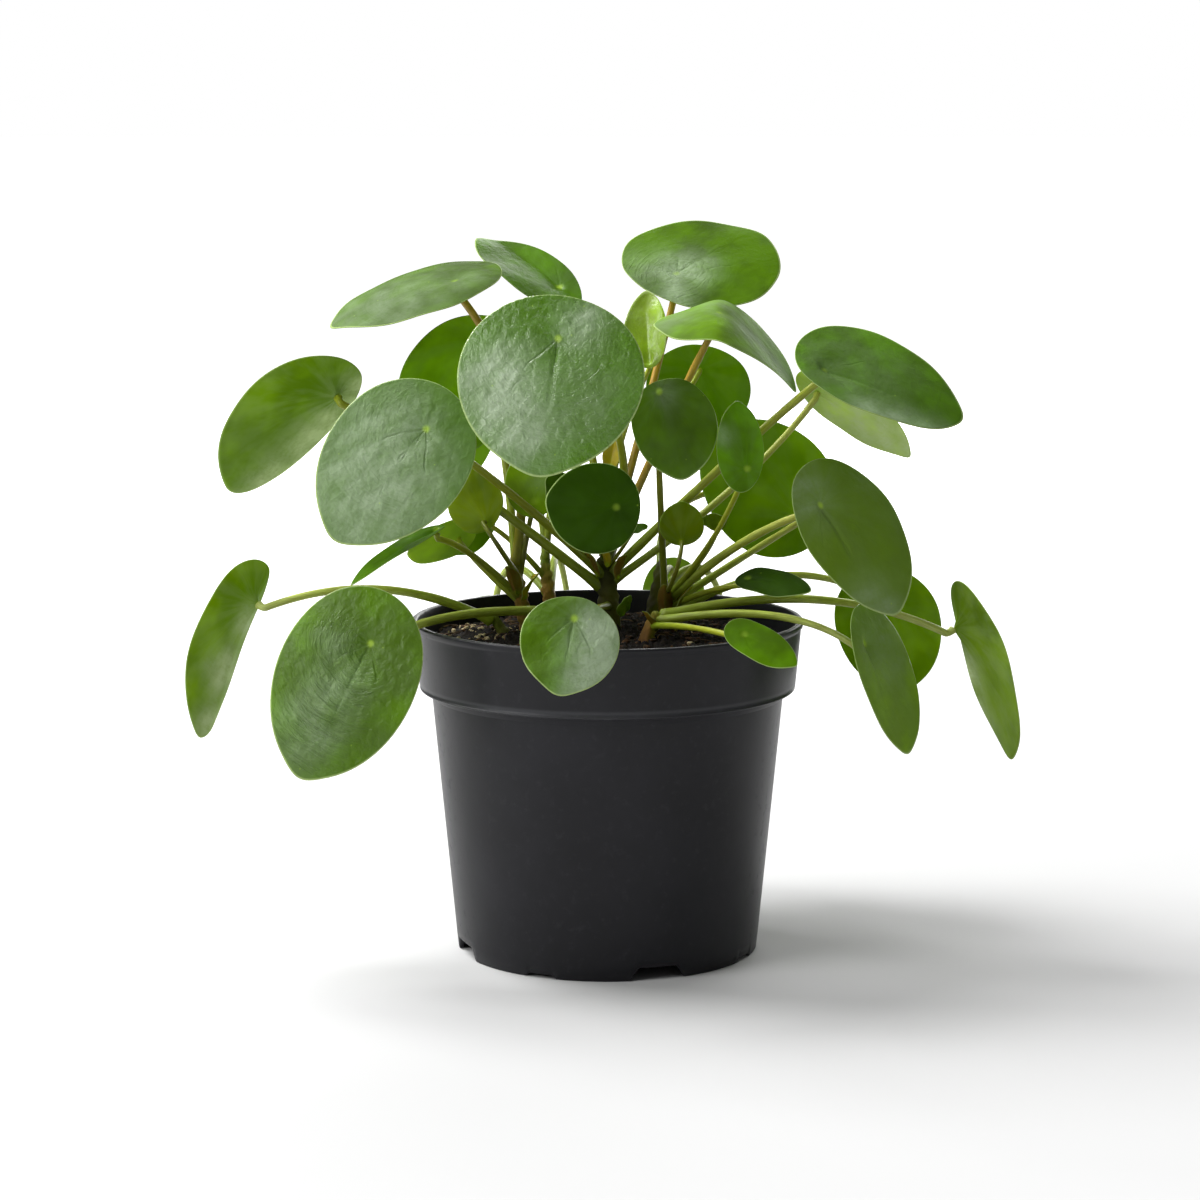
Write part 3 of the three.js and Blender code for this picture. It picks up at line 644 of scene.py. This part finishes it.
# On the underside the painted sheen stands in for the reflection of the white floor
underLook = {"roughness": 0.55, "specular": 0.04, "through": "a4c804", "throughShare": 0.45,
             "shade": (0.68, 0.7, 0.8, 1.0), "fresh": (1.22, 1.2, 0.8, 1.0), "rays": 0.12,
             "paintedSheenPatchy": 1.0, "paintedSheen": "a8bc80", "line": "88a830", "veins": 0.3, "wrinkleShade": 0.0,
             "specks": 0.0, "dot": "a8c428", "dotShare": 0.8, "rim": "a4bc6c",
             "rimShare": 0.6, "sunk": 0.6, "relief": 0.6}
# The waxy underside lets less light through, and its paler painted sheen stands in for the reflection
# of the white floor and the back light
underSheenLook = {**underLook, "throughShare": 0.18, "paintedSheen": "ccdda4"}

veinGroup = makeVeinGroup(lineForm)
leafSkins = {"satin": makeLeafMaterial("leafUpper", upperLook),
             "deep": makeLeafMaterial("leafDeep", deepLook),
             "gloss": makeLeafMaterial("leafGloss", glossLook),
             "glow": makeLeafMaterial("leafUnder", underLook),
             "waxSheen": makeLeafMaterial("leafUnderSheen", underSheenLook)}

for number, (name, leaf) in enumerate(leaves.items()):
    makeBlade(name, leaf, 40 + number)
print("leaves made:", len(leaves))


# Bracts: small papery leaves at the feet of the stalks, shaped like blades

plainBract = {**plainLeaf, "back": 0.1, "fold": 0.5}
bractPlan = [
    dict(joint=(1, 19, 184), tip=(3, 22, 197), wide=7, roll=25, tone="straw"),
    dict(joint=(-4, 7, 144), tip=(-8, 4, 155), wide=5, roll=-20, tone="sheath"),
    dict(joint=(4, 6, 143), tip=(6, 2, 153), wide=5, roll=20, tone="sheath"),
    dict(joint=(0, 5, 148), tip=(-2, 2, 157), wide=4, roll=0, fold=0.4, tone="straw"),
    dict(joint=(-35, 11, 136), tip=(-38, 7, 148), wide=6, roll=10, fold=0.6, tone="sheath"),
    dict(joint=(-32, 12, 134), tip=(-28, 8, 145), wide=5, roll=30, tone="straw"),
    dict(joint=(22, 8, 128), tip=(22, 4, 141), wide=6, roll=-10, fold=0.6, tone="sheath"),
    dict(joint=(26, 10, 128), tip=(31, 7, 140), wide=5, roll=30, tone="straw"),
    dict(joint=(6, -2, 130), tip=(8, -6, 138), wide=6, roll=10, back=0.15, fold=0.3, tone="olive"),
    dict(joint=(18, -15, 126), tip=(14, -18, 134), wide=4, roll=0, tone="sheath"),
]


def makeBracts(plan):
    shells = [bladeShell({**plainBract, **bract}, 400 + number)
              for number, bract in enumerate(plan)]
    addPiece("bracts", joined(shells), [leafSkins["satin"], leafSkins["glow"]],
             under="bladeSide")


makeBracts(bractPlan)
print("bracts made:", len(bractPlan))


# Pot and soil heap, as in the solids. In millimetres; floorEdge and footRing are measured out
# from the foot's radius and up. A kind of drain slot: turn in degrees, width, height, slope.

potPlan = {"height": 128.0, "rim": 75.0, "bandFoot": 72.0, "bandHeight": 26.5, "bodyTop": 67.6,
           "foot": 57.8, "wall": 1.4, "lip": 2.4, "lipOut": 0.9, "lipInside": 0.6,
           "underBand": 0.7, "floorLift": 5.0, "floorEdge": [(-3.2, 5.0), (-2.2, 4.2)],
           "footRing": [(-1.8, 0.3), (-1.5, 0.0), (-0.4, 0.0), (-0.05, 0.35)],
           "firstSlot": 19.0, "slotStep": 90.0,
           "slots": [(0.0, 18.0, 5.0, 2.0), (45.0, 11.0, 1.5, 1.0)], "spokes": 480}
soilPlan = {"drop": 9.5, "heap": 3.0, "lumps": 0.7, "hole": 22.0, "gap": 0.3, "side": 0.55,
            "crumb": 1.1, "crumbMean": 0.9, "coarse": 5.0, "fine": 2.4, "fineShare": 0.6,
            "waves": 12, "spokes": 300, "rings": 110, "seed": 7}

bandFoot = potPlan["height"] - potPlan["bandHeight"]
soilEdge = potPlan["height"] - soilPlan["drop"]


def innerRadius(z):
    # The pot's inner radius: the tapered wall, and above the band's foot the wider band
    plan = potPlan
    if z < bandFoot:
        return plan["foot"] + (plan["bodyTop"] - plan["foot"]) * z / bandFoot - plan["wall"]
    share = (z - bandFoot) / plan["bandHeight"]
    top = plan["rim"] - plan["lipOut"]
    return plan["bandFoot"] + (top - plan["bandFoot"]) * share - plan["wall"]


def soilHeight(x, y):
    # A low heap with sine lumps that fade out towards the wall
    share = np.minimum(1, np.hypot(x, y) / innerRadius(soilEdge))
    lumps = np.sin(x / 5.3 + 1) * np.cos(y / 4.6) + np.sin((x + y) / 8.1)
    heap = soilPlan["heap"] * (1 - share ** 2)
    return soilEdge + heap + soilPlan["lumps"] * lumps * (1 - share ** 6)


# Shoots: stems with their stalks

shootPlan = {
    "main": dict(at=(1, 12), radius=4.6, top=(-1, 12, 150)),
    "left": dict(at=(-31, 16), radius=3.0, top=(-36, 15, 146), tone="sheath"),
    "front_left": dict(at=(-40, 2), radius=2.2, top=(-44, 1, 127), tone="young"),
    "right": dict(at=(24, 16), radius=3.4, top=(22, 12, 136), tone="sheath"),
    "front_right": dict(at=(15, -14), radius=2.8, top=(19, -12, 131), tone="sheath"),
    "back_left": dict(at=(-22, 46), radius=3.0, top=(-25, 50, 142), tone="sheath"),
    "back_right": dict(at=(18, 48), radius=3.0, top=(22, 52, 142)),
}
stalkForm = {"thin": 0.55, "perLength": 0.012, "swell": 0.5, "neck": 0.055, "turn": 0.35,
             "under": 0.55, "steps": 56, "turnSteps": 9, "sides": 18, "flare": 0.55,
             "flareWide": 0.035, "tipFlare": 0.35, "tipFrom": 0.93, "groove": 0.05,
             "uneven": 0.03, "paintedLightFrom": (-0.66, 0.0, 0.75), "paintedShade": 0.8, "paintedLight": 2.3}
stemForm = {"steps": 40, "sides": 26, "buried": 0.35, "over": 1.5, "taper": 0.65, "scars": 1.1,
            "scarDeep": 0.22, "knobs": 0.3, "shoulder": (0.88, 0.55)}

# Colours at the stem, half way and at the blade
stalkTones = {
    "red": ("747214", "a07a28", "b08e34"),
    "olive": ("748a1c", "8a9222", "9cab2e"),
    "tan": ("7c9422", "a4b04c", "bcc060"),
    "dark": ("606c1a", "60601a", "6c7a22"),
    "pale": ("869c28", "b4c458", "ccd888"),
}
stemTones = {"bark": ("1c120a", "2c200e", "4a5018"), "sheath": ("7a4e1c", "a47828", "94a234"),
             "young": ("5c5a1c", "6e7e26", "869c28")}


def sweep(path, radius, sides):
    # A round section carried along a path. Each section's own directions are the path's
    # direction there and one fixed sideways direction made square to it.
    ahead = np.gradient(path, axis=0)
    ahead /= np.linalg.norm(ahead, axis=1, keepdims=True)
    fixed = unit(np.cross(ahead.mean(0), (0.31, 0.87, 0.12)))
    outward = fixed - (ahead @ fixed)[:, None] * ahead
    outward /= np.linalg.norm(outward, axis=1, keepdims=True)
    across = np.cross(ahead, outward)
    angle = around(sides)
    ring = (np.cos(angle)[None, :, None] * outward[:, None, :]
            + np.sin(angle)[None, :, None] * across[:, None, :])
    return path[:, None, :] + radius[..., None] * ring


def blendTones(tones, share):
    # Three colours laid along a share from 0 to 1
    low, mid, high = (np.array(hexColour(text)) for text in tones)
    first = np.clip(2 * share, 0, 1)[..., None]
    second = np.clip(2 * share - 1, 0, 1)[..., None]
    mixed = (low * (1 - first) + mid * first) * (1 - second) + high * second
    return np.concatenate([mixed, np.ones_like(first)], -1)


def stemLine(shoot):
    # Where a stem ends in the soil, where it comes out and where it ends above
    x, y = shoot["at"]
    ground = soilHeight(x, y)
    foot = np.array((x, y, ground - soilPlan["hole"] + soilPlan["gap"]))
    return foot, np.array((x, y, ground + 1.0)), np.array(shoot["top"], float)


def makeStem(shoot, rng):
    # Straight down in the soil, then leaning to its top. The radius shrinks with the height,
    # with sine rings for leaf scars and uneven knobs, and the last rows round it off.
    form = stemForm
    foot, collar, top = stemLine(shoot)
    share = np.linspace(0, 1, form["steps"])
    above = np.clip((share - form["buried"]) / (1 - form["buried"]), 0, 1)[:, None]
    below = np.clip(share / form["buried"], 0, 1)[:, None]
    path = foot + (collar - foot) * below + (top + (0, 0, form["over"]) - collar) * above
    up, angle = path[:, 2:3], around(form["sides"])[None, :]
    blank = np.zeros((form["steps"], form["sides"]))
    scars = form["scarDeep"] * np.sin(up * form["scars"] + 2 * np.sin(angle))
    knobs = form["knobs"] * ripples(up + blank, 3 * angle + blank, rng, 5, 4.0)
    radius = shoot["radius"] * (1 - (1 - form["taper"]) * above) + scars + knobs
    radius[0] = radius[-1] = 0
    radius[-3:-1] *= np.array(form["shoulder"])[:, None]
    tint = blendTones(stemTones[shoot.get("tone", "bark")], above + blank)
    place = np.stack([up + blank, angle + blank, blank + 1], -1)
    return closedShell(sweep(path, radius, form["sides"]), stalkPlace=place, stalkTint=tint)


def bow(start, handle, end, t):
    # A quadratic curve: it leaves start towards handle and comes into end from handle
    return (1 - t) ** 2 * start + 2 * t * (1 - t) * handle + t ** 2 * end


def makeStalk(leaf, rng):
    # A bow from the stem through the leaf's by point to just under the blade, then a short
    # turn up into it. The radius swells at both ends and has two shallow grooves.
    form, axes = stalkForm, bladeFrame(leaf)
    _, collar, top = stemLine(shootPlan[leaf["on"]])
    start = collar + (top - collar) * leaf["up"]
    length = axes["length"]
    neck = axes["joint"] - axes["upper"] * (form["neck"] * length + 1)
    handle = 2 * np.array(leaf["by"], float) - 0.5 * (start + neck)
    bend = neck + unit(neck - handle) * form["turn"] * form["neck"] * length
    end = axes["joint"] - axes["upper"] * form["under"]
    path = np.concatenate([bow(start, handle, neck, np.linspace(0, 1, form["steps"])[:, None]),
                           bow(neck, bend, end, np.linspace(0, 1, form["turnSteps"])[1:, None])])
    share = np.linspace(0, 1, len(path))
    thin = form["thin"] + form["perLength"] * length
    nearTip = np.clip((share - form["tipFrom"]) / (1 - form["tipFrom"]), 0, 1)
    radius = thin * (1 + form["swell"] * (1 - np.sqrt(share)) + form["tipFlare"] * nearTip ** 2
                     + form["flare"] * np.exp(-(share / form["flareWide"]) ** 2))
    angle = around(form["sides"])[None, :]
    groove = form["groove"] * np.cos(2 * angle + rng.uniform(0, 6))
    uneven = form["uneven"] * ripples(share * 60, 0 * share, rng, 4, 12)[:, None]
    radius = radius[:, None] * (1 + groove + uneven)
    radius[0] = radius[-1] = 0
    points = sweep(path, radius, form["sides"])
    blank = 0 * radius
    shade = np.clip(share[:, None] + blank + rng.uniform(-0.1, 0.1), 0, 1)
    tint = blendTones(stalkTones[leaf["stalk"]], shade)
    # Painted light and shade: the side that faces up and to the left, towards the light, is brighter,
    # by the square of how far it faces there, and the other side darker
    spoke = points - path[:, None, :]
    spoke /= np.maximum(np.linalg.norm(spoke, axis=-1, keepdims=True), 1e-6)
    paintedLitSide = (0.5 + 0.5 * spoke @ np.array(form["paintedLightFrom"])) ** 2
    tint[..., :3] *= (form["paintedShade"] + (form["paintedLight"] - form["paintedShade"]) * paintedLitSide)[..., None]
    run = np.concatenate([[0], np.cumsum(np.linalg.norm(np.diff(path, axis=0), axis=1))])
    place = np.stack([run[:, None] + blank, angle + blank, blank], -1)
    return closedShell(points, stalkPlace=place, stalkTint=tint)


stalkLook = {"roughness": 0.4, "barkRough": 0.35, "specular": 0.5, "through": "c4cc60",
             "throughShare": 0.3, "streak": "c4bc9c", "streakShare": 0.7, "blotch": "6a4a20",
             "blotchShare": 0.12, "blotchScale": 180, "flakeScale": 700, "relief": 1.2}


def makeStalkMaterial(look):
    # Lines that run along the stalk, brown blotches, and flaky bark on the stems
    material, tree, shader = newMaterial("stalkSkin", look)
    place, spot = attribute(tree, "stalkPlace"), objectPlace(tree)
    tint = attribute(tree, "stalkTint", "Color")
    bark = split(tree, place)[2]
    streak = addNode(tree, "VectorMath", {0: place, 1: (0.12, 2.2, 1.0)}, operation="MULTIPLY")
    lines = ramp(tree, noise(tree, streak.outputs[0], 1.6, 3), 0.35, 0.7)
    blotch = ramp(tree, noise(tree, spot, look["blotchScale"], 3), 0.35, 0.7)
    streaked = mixColour(tree, look["streakShare"], tint, look["streak"], "MULTIPLY")
    colour = mixColour(tree, lines, streaked, tint)
    colour = mixColour(tree, times(tree, blotch, look["blotchShare"]), colour, look["blotch"])
    feed(tree, shader.inputs["Base Color"], colour)
    rough = plus(tree, times(tree, bark, look["barkRough"]), look["roughness"])
    feed(tree, shader.inputs["Roughness"], rough)
    flakes = noise(tree, spot, look["flakeScale"], 4, 0.65)
    bump(tree, shader, times(tree, flakes, plus(tree, bark, 0.12)), 0.7, look["relief"])
    return material


stalkSkin = makeStalkMaterial(stalkLook)
for number, (name, shoot) in enumerate(shootPlan.items()):
    rng = np.random.default_rng(200 + number)
    parts = [makeStem(shoot, rng)]
    parts += [makeStalk(leaf, rng) for leaf in leaves.values() if leaf["on"] == name]
    addPiece("stalks_" + name, joined(parts), [stalkSkin], ["shoot_" + name])
print("shoots made:", len(shootPlan))


# Soil

def makeSoil(plan):
    # A round body; its top is the heap with crumbs: sharp ripples of a few millimetres
    rng = np.random.default_rng(plan["seed"])
    angle, rings = around(plan["spokes"]), plan["rings"]
    low = potPlan["floorLift"] + potPlan["wall"] + plan["gap"]
    edge = innerRadius(soilEdge) - plan["side"]
    profile = [(0, low), (innerRadius(low) - plan["side"], low),
               (innerRadius(bandFoot - 0.1) - plan["side"], bandFoot + potPlan["wall"]),
               (edge, soilEdge)]
    inward = edge * (1 - np.linspace(0, 1, rings + 1)[1:])
    r = np.concatenate([[p[0] for p in profile], inward])[:, None]
    x, y = r * np.cos(angle), r * np.sin(angle)
    z = np.concatenate([[p[1] for p in profile], np.full(rings, np.nan)])[:, None] + 0 * x
    coarse, fine = (np.abs(ripples(x, y, rng, plan["waves"], plan[size]))
                    for size in ("coarse", "fine"))
    crumbs = plan["crumb"] * (coarse + plan["fineShare"] * fine - plan["crumbMean"])
    z = np.where(np.isnan(z), soilHeight(x, y) + crumbs, z)
    return closedShell(np.stack([x, y, z], -1))


# flat squashes a lump, rough makes it uneven, and sink buries it
lumpPlan = {
    "crumbs": dict(count=420, size=(0.6, 1.9), flat=0.6, rough=0.3, sink=0.2, seed=11),
    "perlite": dict(count=110, size=(0.4, 1.3), flat=0.75, rough=0.22, sink=0.0, seed=12),
}


def makeLumps(plan, place):
    # Small uneven balls: radius varied by sines of the two angles, squashed and turned
    rng = np.random.default_rng(plan["seed"])
    lat, lon = np.linspace(-math.pi / 2, math.pi / 2, 8)[:, None], around(10)[None, :]
    shells = []
    for _ in range(plan["count"]):
        x, y = place(rng)
        a, b, turn = rng.uniform(0, 2 * math.pi, 3)
        swell = 1 + plan["rough"] * (np.sin(2 * lon + a) * np.cos(lat) + np.sin(3 * lat + b))
        radius = rng.uniform(*plan["size"]) * swell
        level = radius * np.cos(lat)
        ball = np.stack([level * np.cos(lon), 0.8 * level * np.sin(lon),
                         plan["flat"] * radius * np.sin(lat)], -1)
        ball[[0, -1]] = ball[[0, -1]].mean(1, keepdims=True)
        cosine, sine = math.cos(turn), math.sin(turn)
        ball = ball @ np.array([[cosine, sine, 0], [-sine, cosine, 0], [0, 0, 1]])
        lift = soilHeight(x, y) + (1 - plan["sink"]) * plan["size"][0] * plan["flat"]
        shells.append(closedShell(ball + (x, y, lift)))
    return joined(shells)


def onSoil(rng):
    # A place on the soil, as likely in one spot as in another
    reach = (innerRadius(soilEdge) - 3) * math.sqrt(rng.uniform(0.02, 1))
    turn = rng.uniform(0, 2 * math.pi)
    return reach * math.cos(turn), reach * math.sin(turn)


def nearLeft(rng):
    # Perlite shows most at the left, close to the wall
    if rng.uniform() < 0.5:
        turn = math.radians(rng.uniform(145, 190))
        reach = innerRadius(soilEdge) - rng.uniform(2.5, 34)
        return reach * math.cos(turn), reach * math.sin(turn)
    return onSoil(rng)


fibrePlan = {"count": 70, "length": (4, 12), "bow": (-0.3, 0.3), "thick": (0.12, 0.28),
             "lift": 0.8, "steps": 9, "sides": 6, "seed": 13}


def makeFibres(plan):
    # Thin strands of peat that lie on the soil in shallow bows
    rng = np.random.default_rng(plan["seed"])
    t = np.linspace(-1, 1, plan["steps"])
    shells = []
    for _ in range(plan["count"]):
        x, y = onSoil(rng)
        turn, length, bend = (rng.uniform(*span) for span in ((0, 6.28), plan["length"], plan["bow"]))
        along, across = 0.5 * length * t, length * bend * t ** 2
        px = x + along * math.cos(turn) - across * math.sin(turn)
        py = y + along * math.sin(turn) + across * math.cos(turn)
        keep = np.minimum(1, (innerRadius(soilEdge) - 2) / np.maximum(np.hypot(px, py), 1e-6))
        px, py = px * keep, py * keep
        path = np.stack([px, py, soilHeight(px, py) + plan["lift"] * (2 - t ** 2)], -1)
        radius = np.full((plan["steps"], plan["sides"]), rng.uniform(*plan["thick"]))
        radius[0] = radius[-1] = 0
        shells.append(closedShell(sweep(path, radius, plan["sides"])))
    return joined(shells)


soilLooks = {
    "pottingMix": dict(dark="080502", light="20160c", scale=420, roughness=0.95, relief=1.5),
    "barkCrumb": dict(dark="1c1208", light="54391c", scale=500, roughness=0.9, relief=0.8),
    "perlite": dict(dark="8c7a50", light="dccfa8", scale=900, roughness=0.85, relief=0.5),
    "peatFibre": dict(dark="3a2a18", light="7a6040", scale=300, roughness=0.85, relief=0.3),
}


def makeGrainMaterial(name, look):
    material, tree, shader = newMaterial(name, {**look, "specular": 0.3})
    grain = noise(tree, objectPlace(tree), look["scale"], 5, 0.65)
    colour = mixColour(tree, ramp(tree, grain, 0.35, 0.75), look["dark"], look["light"])
    feed(tree, shader.inputs["Base Color"], colour)
    bump(tree, shader, grain, 0.9, look["relief"])
    return material


skins = {name: makeGrainMaterial(name, look) for name, look in soilLooks.items()}
addPiece("soil_bed", makeSoil(soilPlan), [skins["pottingMix"]], ["soil"])
addPiece("soil_crumbs", makeLumps(lumpPlan["crumbs"], onSoil), [skins["barkCrumb"]])
addPiece("soil_perlite", makeLumps(lumpPlan["perlite"], nearLeft), [skins["perlite"]])
addPiece("soil_fibres", makeFibres(fibrePlan), [skins["peatFibre"]])
print("soil made")


# Pot

def arcPoints(centre, radius, first, last, count):
    # Points along an arc, between two angles in degrees
    turn = np.radians(np.linspace(first, last, count))
    return [(centre[0] + radius * math.cos(a), centre[1] + radius * math.sin(a)) for a in turn]


def slotLift(angle):
    # How far the foot is lifted at each angle: flat-topped notches with sloping sides, wide
    # ones and a low one half-way between each two
    plan = potPlan
    lift = np.zeros_like(angle)
    step = math.radians(plan["slotStep"])
    for turn, wide, high, slope in plan["slots"]:
        first = math.radians(plan["firstSlot"] - 90 + turn)
        away = (angle - first + step / 2) % step - step / 2
        over = wide / 2 + slope - np.abs(away) * plan["foot"]
        lift = np.maximum(lift, high * np.clip(over / (2 * slope) * 1.15, 0, 1))
    return lift


def makePot(plan):
    # A profile turned round the axis: under the floor, up the wall, out under the band, up
    # to the rounded lip, and down inside. Only the foot's rows are lifted at the drain slots.
    wall, foot, top = plan["wall"], plan["foot"], plan["height"]
    inFloor = plan["floorLift"] + wall
    bandTop, bandOut = top - plan["lip"], plan["rim"] - plan["lipOut"]
    soft, lipRound, lipInside = plan["underBand"], plan["lip"] / 3, plan["lipInside"]
    lean = (plan["bodyTop"] - foot) / bandFoot
    profile = [(0, plan["floorLift"])] + [(foot + out, z) for out, z in plan["floorEdge"]]
    footRows = np.arange(len(plan["footRing"])) + len(profile)
    profile += [(foot + out, z) for out, z in plan["footRing"]]
    profile += [(foot + lean * z, z) for z in np.linspace(5.6, bandFoot - 0.6, 34)]
    profile += [(plan["bodyTop"] - 0.05, bandFoot - 0.15), (plan["bodyTop"] + 0.2, bandFoot)]
    profile += arcPoints((plan["bandFoot"] - soft, bandFoot + soft), soft, -90, 0, 6)
    profile += [(plan["bandFoot"] + (bandOut - plan["bandFoot"]) * s,
                 bandFoot + soft + (bandTop - bandFoot - 1.6) * s) for s in np.linspace(0, 1, 14)]
    profile += [(bandOut + 0.15, bandTop - 0.2), (plan["rim"] - 0.25, bandTop + 0.1)]
    profile += arcPoints((plan["rim"] - lipRound, top - lipRound), lipRound, 0, 90, 7)
    profile += arcPoints((innerRadius(top) + lipInside, top - lipInside), lipInside, 90, 180, 5)
    profile += [(innerRadius(z), z) for z in np.linspace(top - 0.8, bandFoot + wall + 0.4, 12)]
    profile += [(innerRadius(z), z) for z in np.linspace(bandFoot + wall - 0.8, inFloor + 1.6, 20)]
    profile += [(innerRadius(inFloor + 0.6) - 1, inFloor), (0, inFloor)]
    r, z = np.array(profile).T[..., None]
    angle = around(plan["spokes"])
    height = z + 0 * angle
    lifted = slotLift(angle) + 0.02 * z[footRows]
    height[footRows] = np.maximum(height[footRows], lifted)
    return closedShell(np.stack([r * np.cos(angle), r * np.sin(angle), height], -1))


potLook = {"roughness": 0.38, "dusty": 0.55, "specular": 0.18, "dark": "1d1d20",
           "cloudy": "242428", "cloudScale": 22, "dust": "3a3b3e", "dustShare": 0.3,
           "dustScale": 260, "paintedEdgeHighlight": "5a5b5e", "paintedEdgeHighlightShare": 0.25, "mouldedScale": 1500,
           "relief": 0.15}


def makePotMaterial(look):
    # Clouded plastic with dust, paler on sharp edges as a painted highlight, and a fine moulded grain
    material, tree, shader = newMaterial("potPlastic", look)
    spot = objectPlace(tree)
    cloud = ramp(tree, noise(tree, spot, look["cloudScale"], 4, 0.6), 0.3, 0.8)
    dust = ramp(tree, noise(tree, spot, look["dustScale"], 5, 0.7), 0.52, 0.8)
    # Painted highlight: sharp edges, found by their pointiness, are paler
    paintedEdgeHighlight = ramp(tree, addNode(tree, "NewGeometry").outputs["Pointiness"], 0.53, 0.6)
    colour = mixColour(tree, cloud, look["dark"], look["cloudy"])
    colour = mixColour(tree, times(tree, dust, look["dustShare"]), colour, look["dust"])
    colour = mixColour(tree, times(tree, paintedEdgeHighlight, look["paintedEdgeHighlightShare"]), colour, look["paintedEdgeHighlight"])
    feed(tree, shader.inputs["Base Color"], colour)
    inputs = {"Value": dust, "To Min": look["roughness"], "To Max": look["dusty"]}
    feed(tree, shader.inputs["Roughness"], addNode(tree, "MapRange", inputs).outputs["Result"])
    moulded = noise(tree, spot, look["mouldedScale"], 2)
    bump(tree, shader, plus(tree, times(tree, moulded, 0.4), cloud), 0.25, look["relief"])
    return material


addPiece("pot_shell", makePot(potPlan), [makePotMaterial(potLook)], ["pot"])
print("pot made")


# Floor and light

floorPlan = {"reach": 30.0, "grey": 0.6, "near": 0.22, "far": 1.6}


def makeStage(plan):
    # White floor. It glows more and more away from the object, so it runs into the white
    # background without a horizon, and the shadow stays near the pot.
    reach, grey = plan["reach"], plan["grey"]
    mesh = bpy.data.meshes.new("floor")
    corners = [(-reach, -reach, 0), (reach, -reach, 0), (reach, reach, 0), (-reach, reach, 0)]
    mesh.from_pydata(corners, [], [(0, 1, 2, 3)])
    floor = bpy.data.objects.new("floor", mesh)
    bpy.context.collection.objects.link(floor)
    material, tree, shader = newMaterial("floorWhite", {"roughness": 0.9, "specular": 0.1})
    feed(tree, shader.inputs["Base Color"], (grey, grey, grey, 1))
    away = addNode(tree, "VectorMath", {0: objectPlace(tree)}, operation="LENGTH")
    glow = ramp(tree, away.outputs["Value"], plan["near"], plan["far"])
    feed(tree, shader.inputs["Emission Color"], glow)
    feed(tree, shader.inputs["Emission Strength"], 1.0)
    mesh.materials.append(material)


# Places in metres, power in watts. The key light comes from the left, above and behind, and
# the window light from the left, in front.
lightPlan = {
    "key": dict(at=(-1.1, 0.6, 1.6), aim=(0, 0, 0.12), size=1.2, power=64),
    "top": dict(at=(-0.2, -0.5, 1.9), aim=(0, 0, 0.15), size=1.2, power=6),
    "window": dict(at=(-1.5, -0.9, 1.0), aim=(0, 0, 0.15), size=1.0, power=18),
    "back": dict(at=(0.6, 1.85, 0.8), aim=(0, 0, 0.15), size=2.0, power=42),
}
worldPlan = {"seen": 1.0, "soft": 0.12}


def makeLights(plan):
    for name, light in plan.items():
        data = bpy.data.lights.new(name, "AREA")
        data.shape = "DISK"
        data.size = light["size"]
        data.energy = light["power"]
        lamp = bpy.data.objects.new(name, data)
        at, aim = np.array(light["at"]), np.array(light["aim"])
        lamp.location = at
        towards = unit(aim - at)
        lamp.rotation_euler = (math.acos(-towards[2]), 0, math.atan2(-towards[0], towards[1]))
        lamp.visible_camera = False
        bpy.context.collection.objects.link(lamp)


def makeWorld(plan):
    # White where the camera sees it, and a softer white as light
    world = bpy.data.worlds.new("studio")
    bpy.context.scene.world = world
    world.use_nodes = True
    tree = world.node_tree
    tree.nodes.clear()
    seen, soft = (addNode(tree, "Background", {"Color": "ffffff", "Strength": plan[part]}).outputs[0]
                  for part in ("seen", "soft"))
    camera = addNode(tree, "LightPath").outputs["Is Camera Ray"]
    both = addNode(tree, "MixShader", {0: camera, 1: soft, 2: seen}).outputs[0]
    addNode(tree, "OutputWorld", {"Surface": both})


makeStage(floorPlan)
makeLights(lightPlan)
makeWorld(worldPlan)
print("stage made")
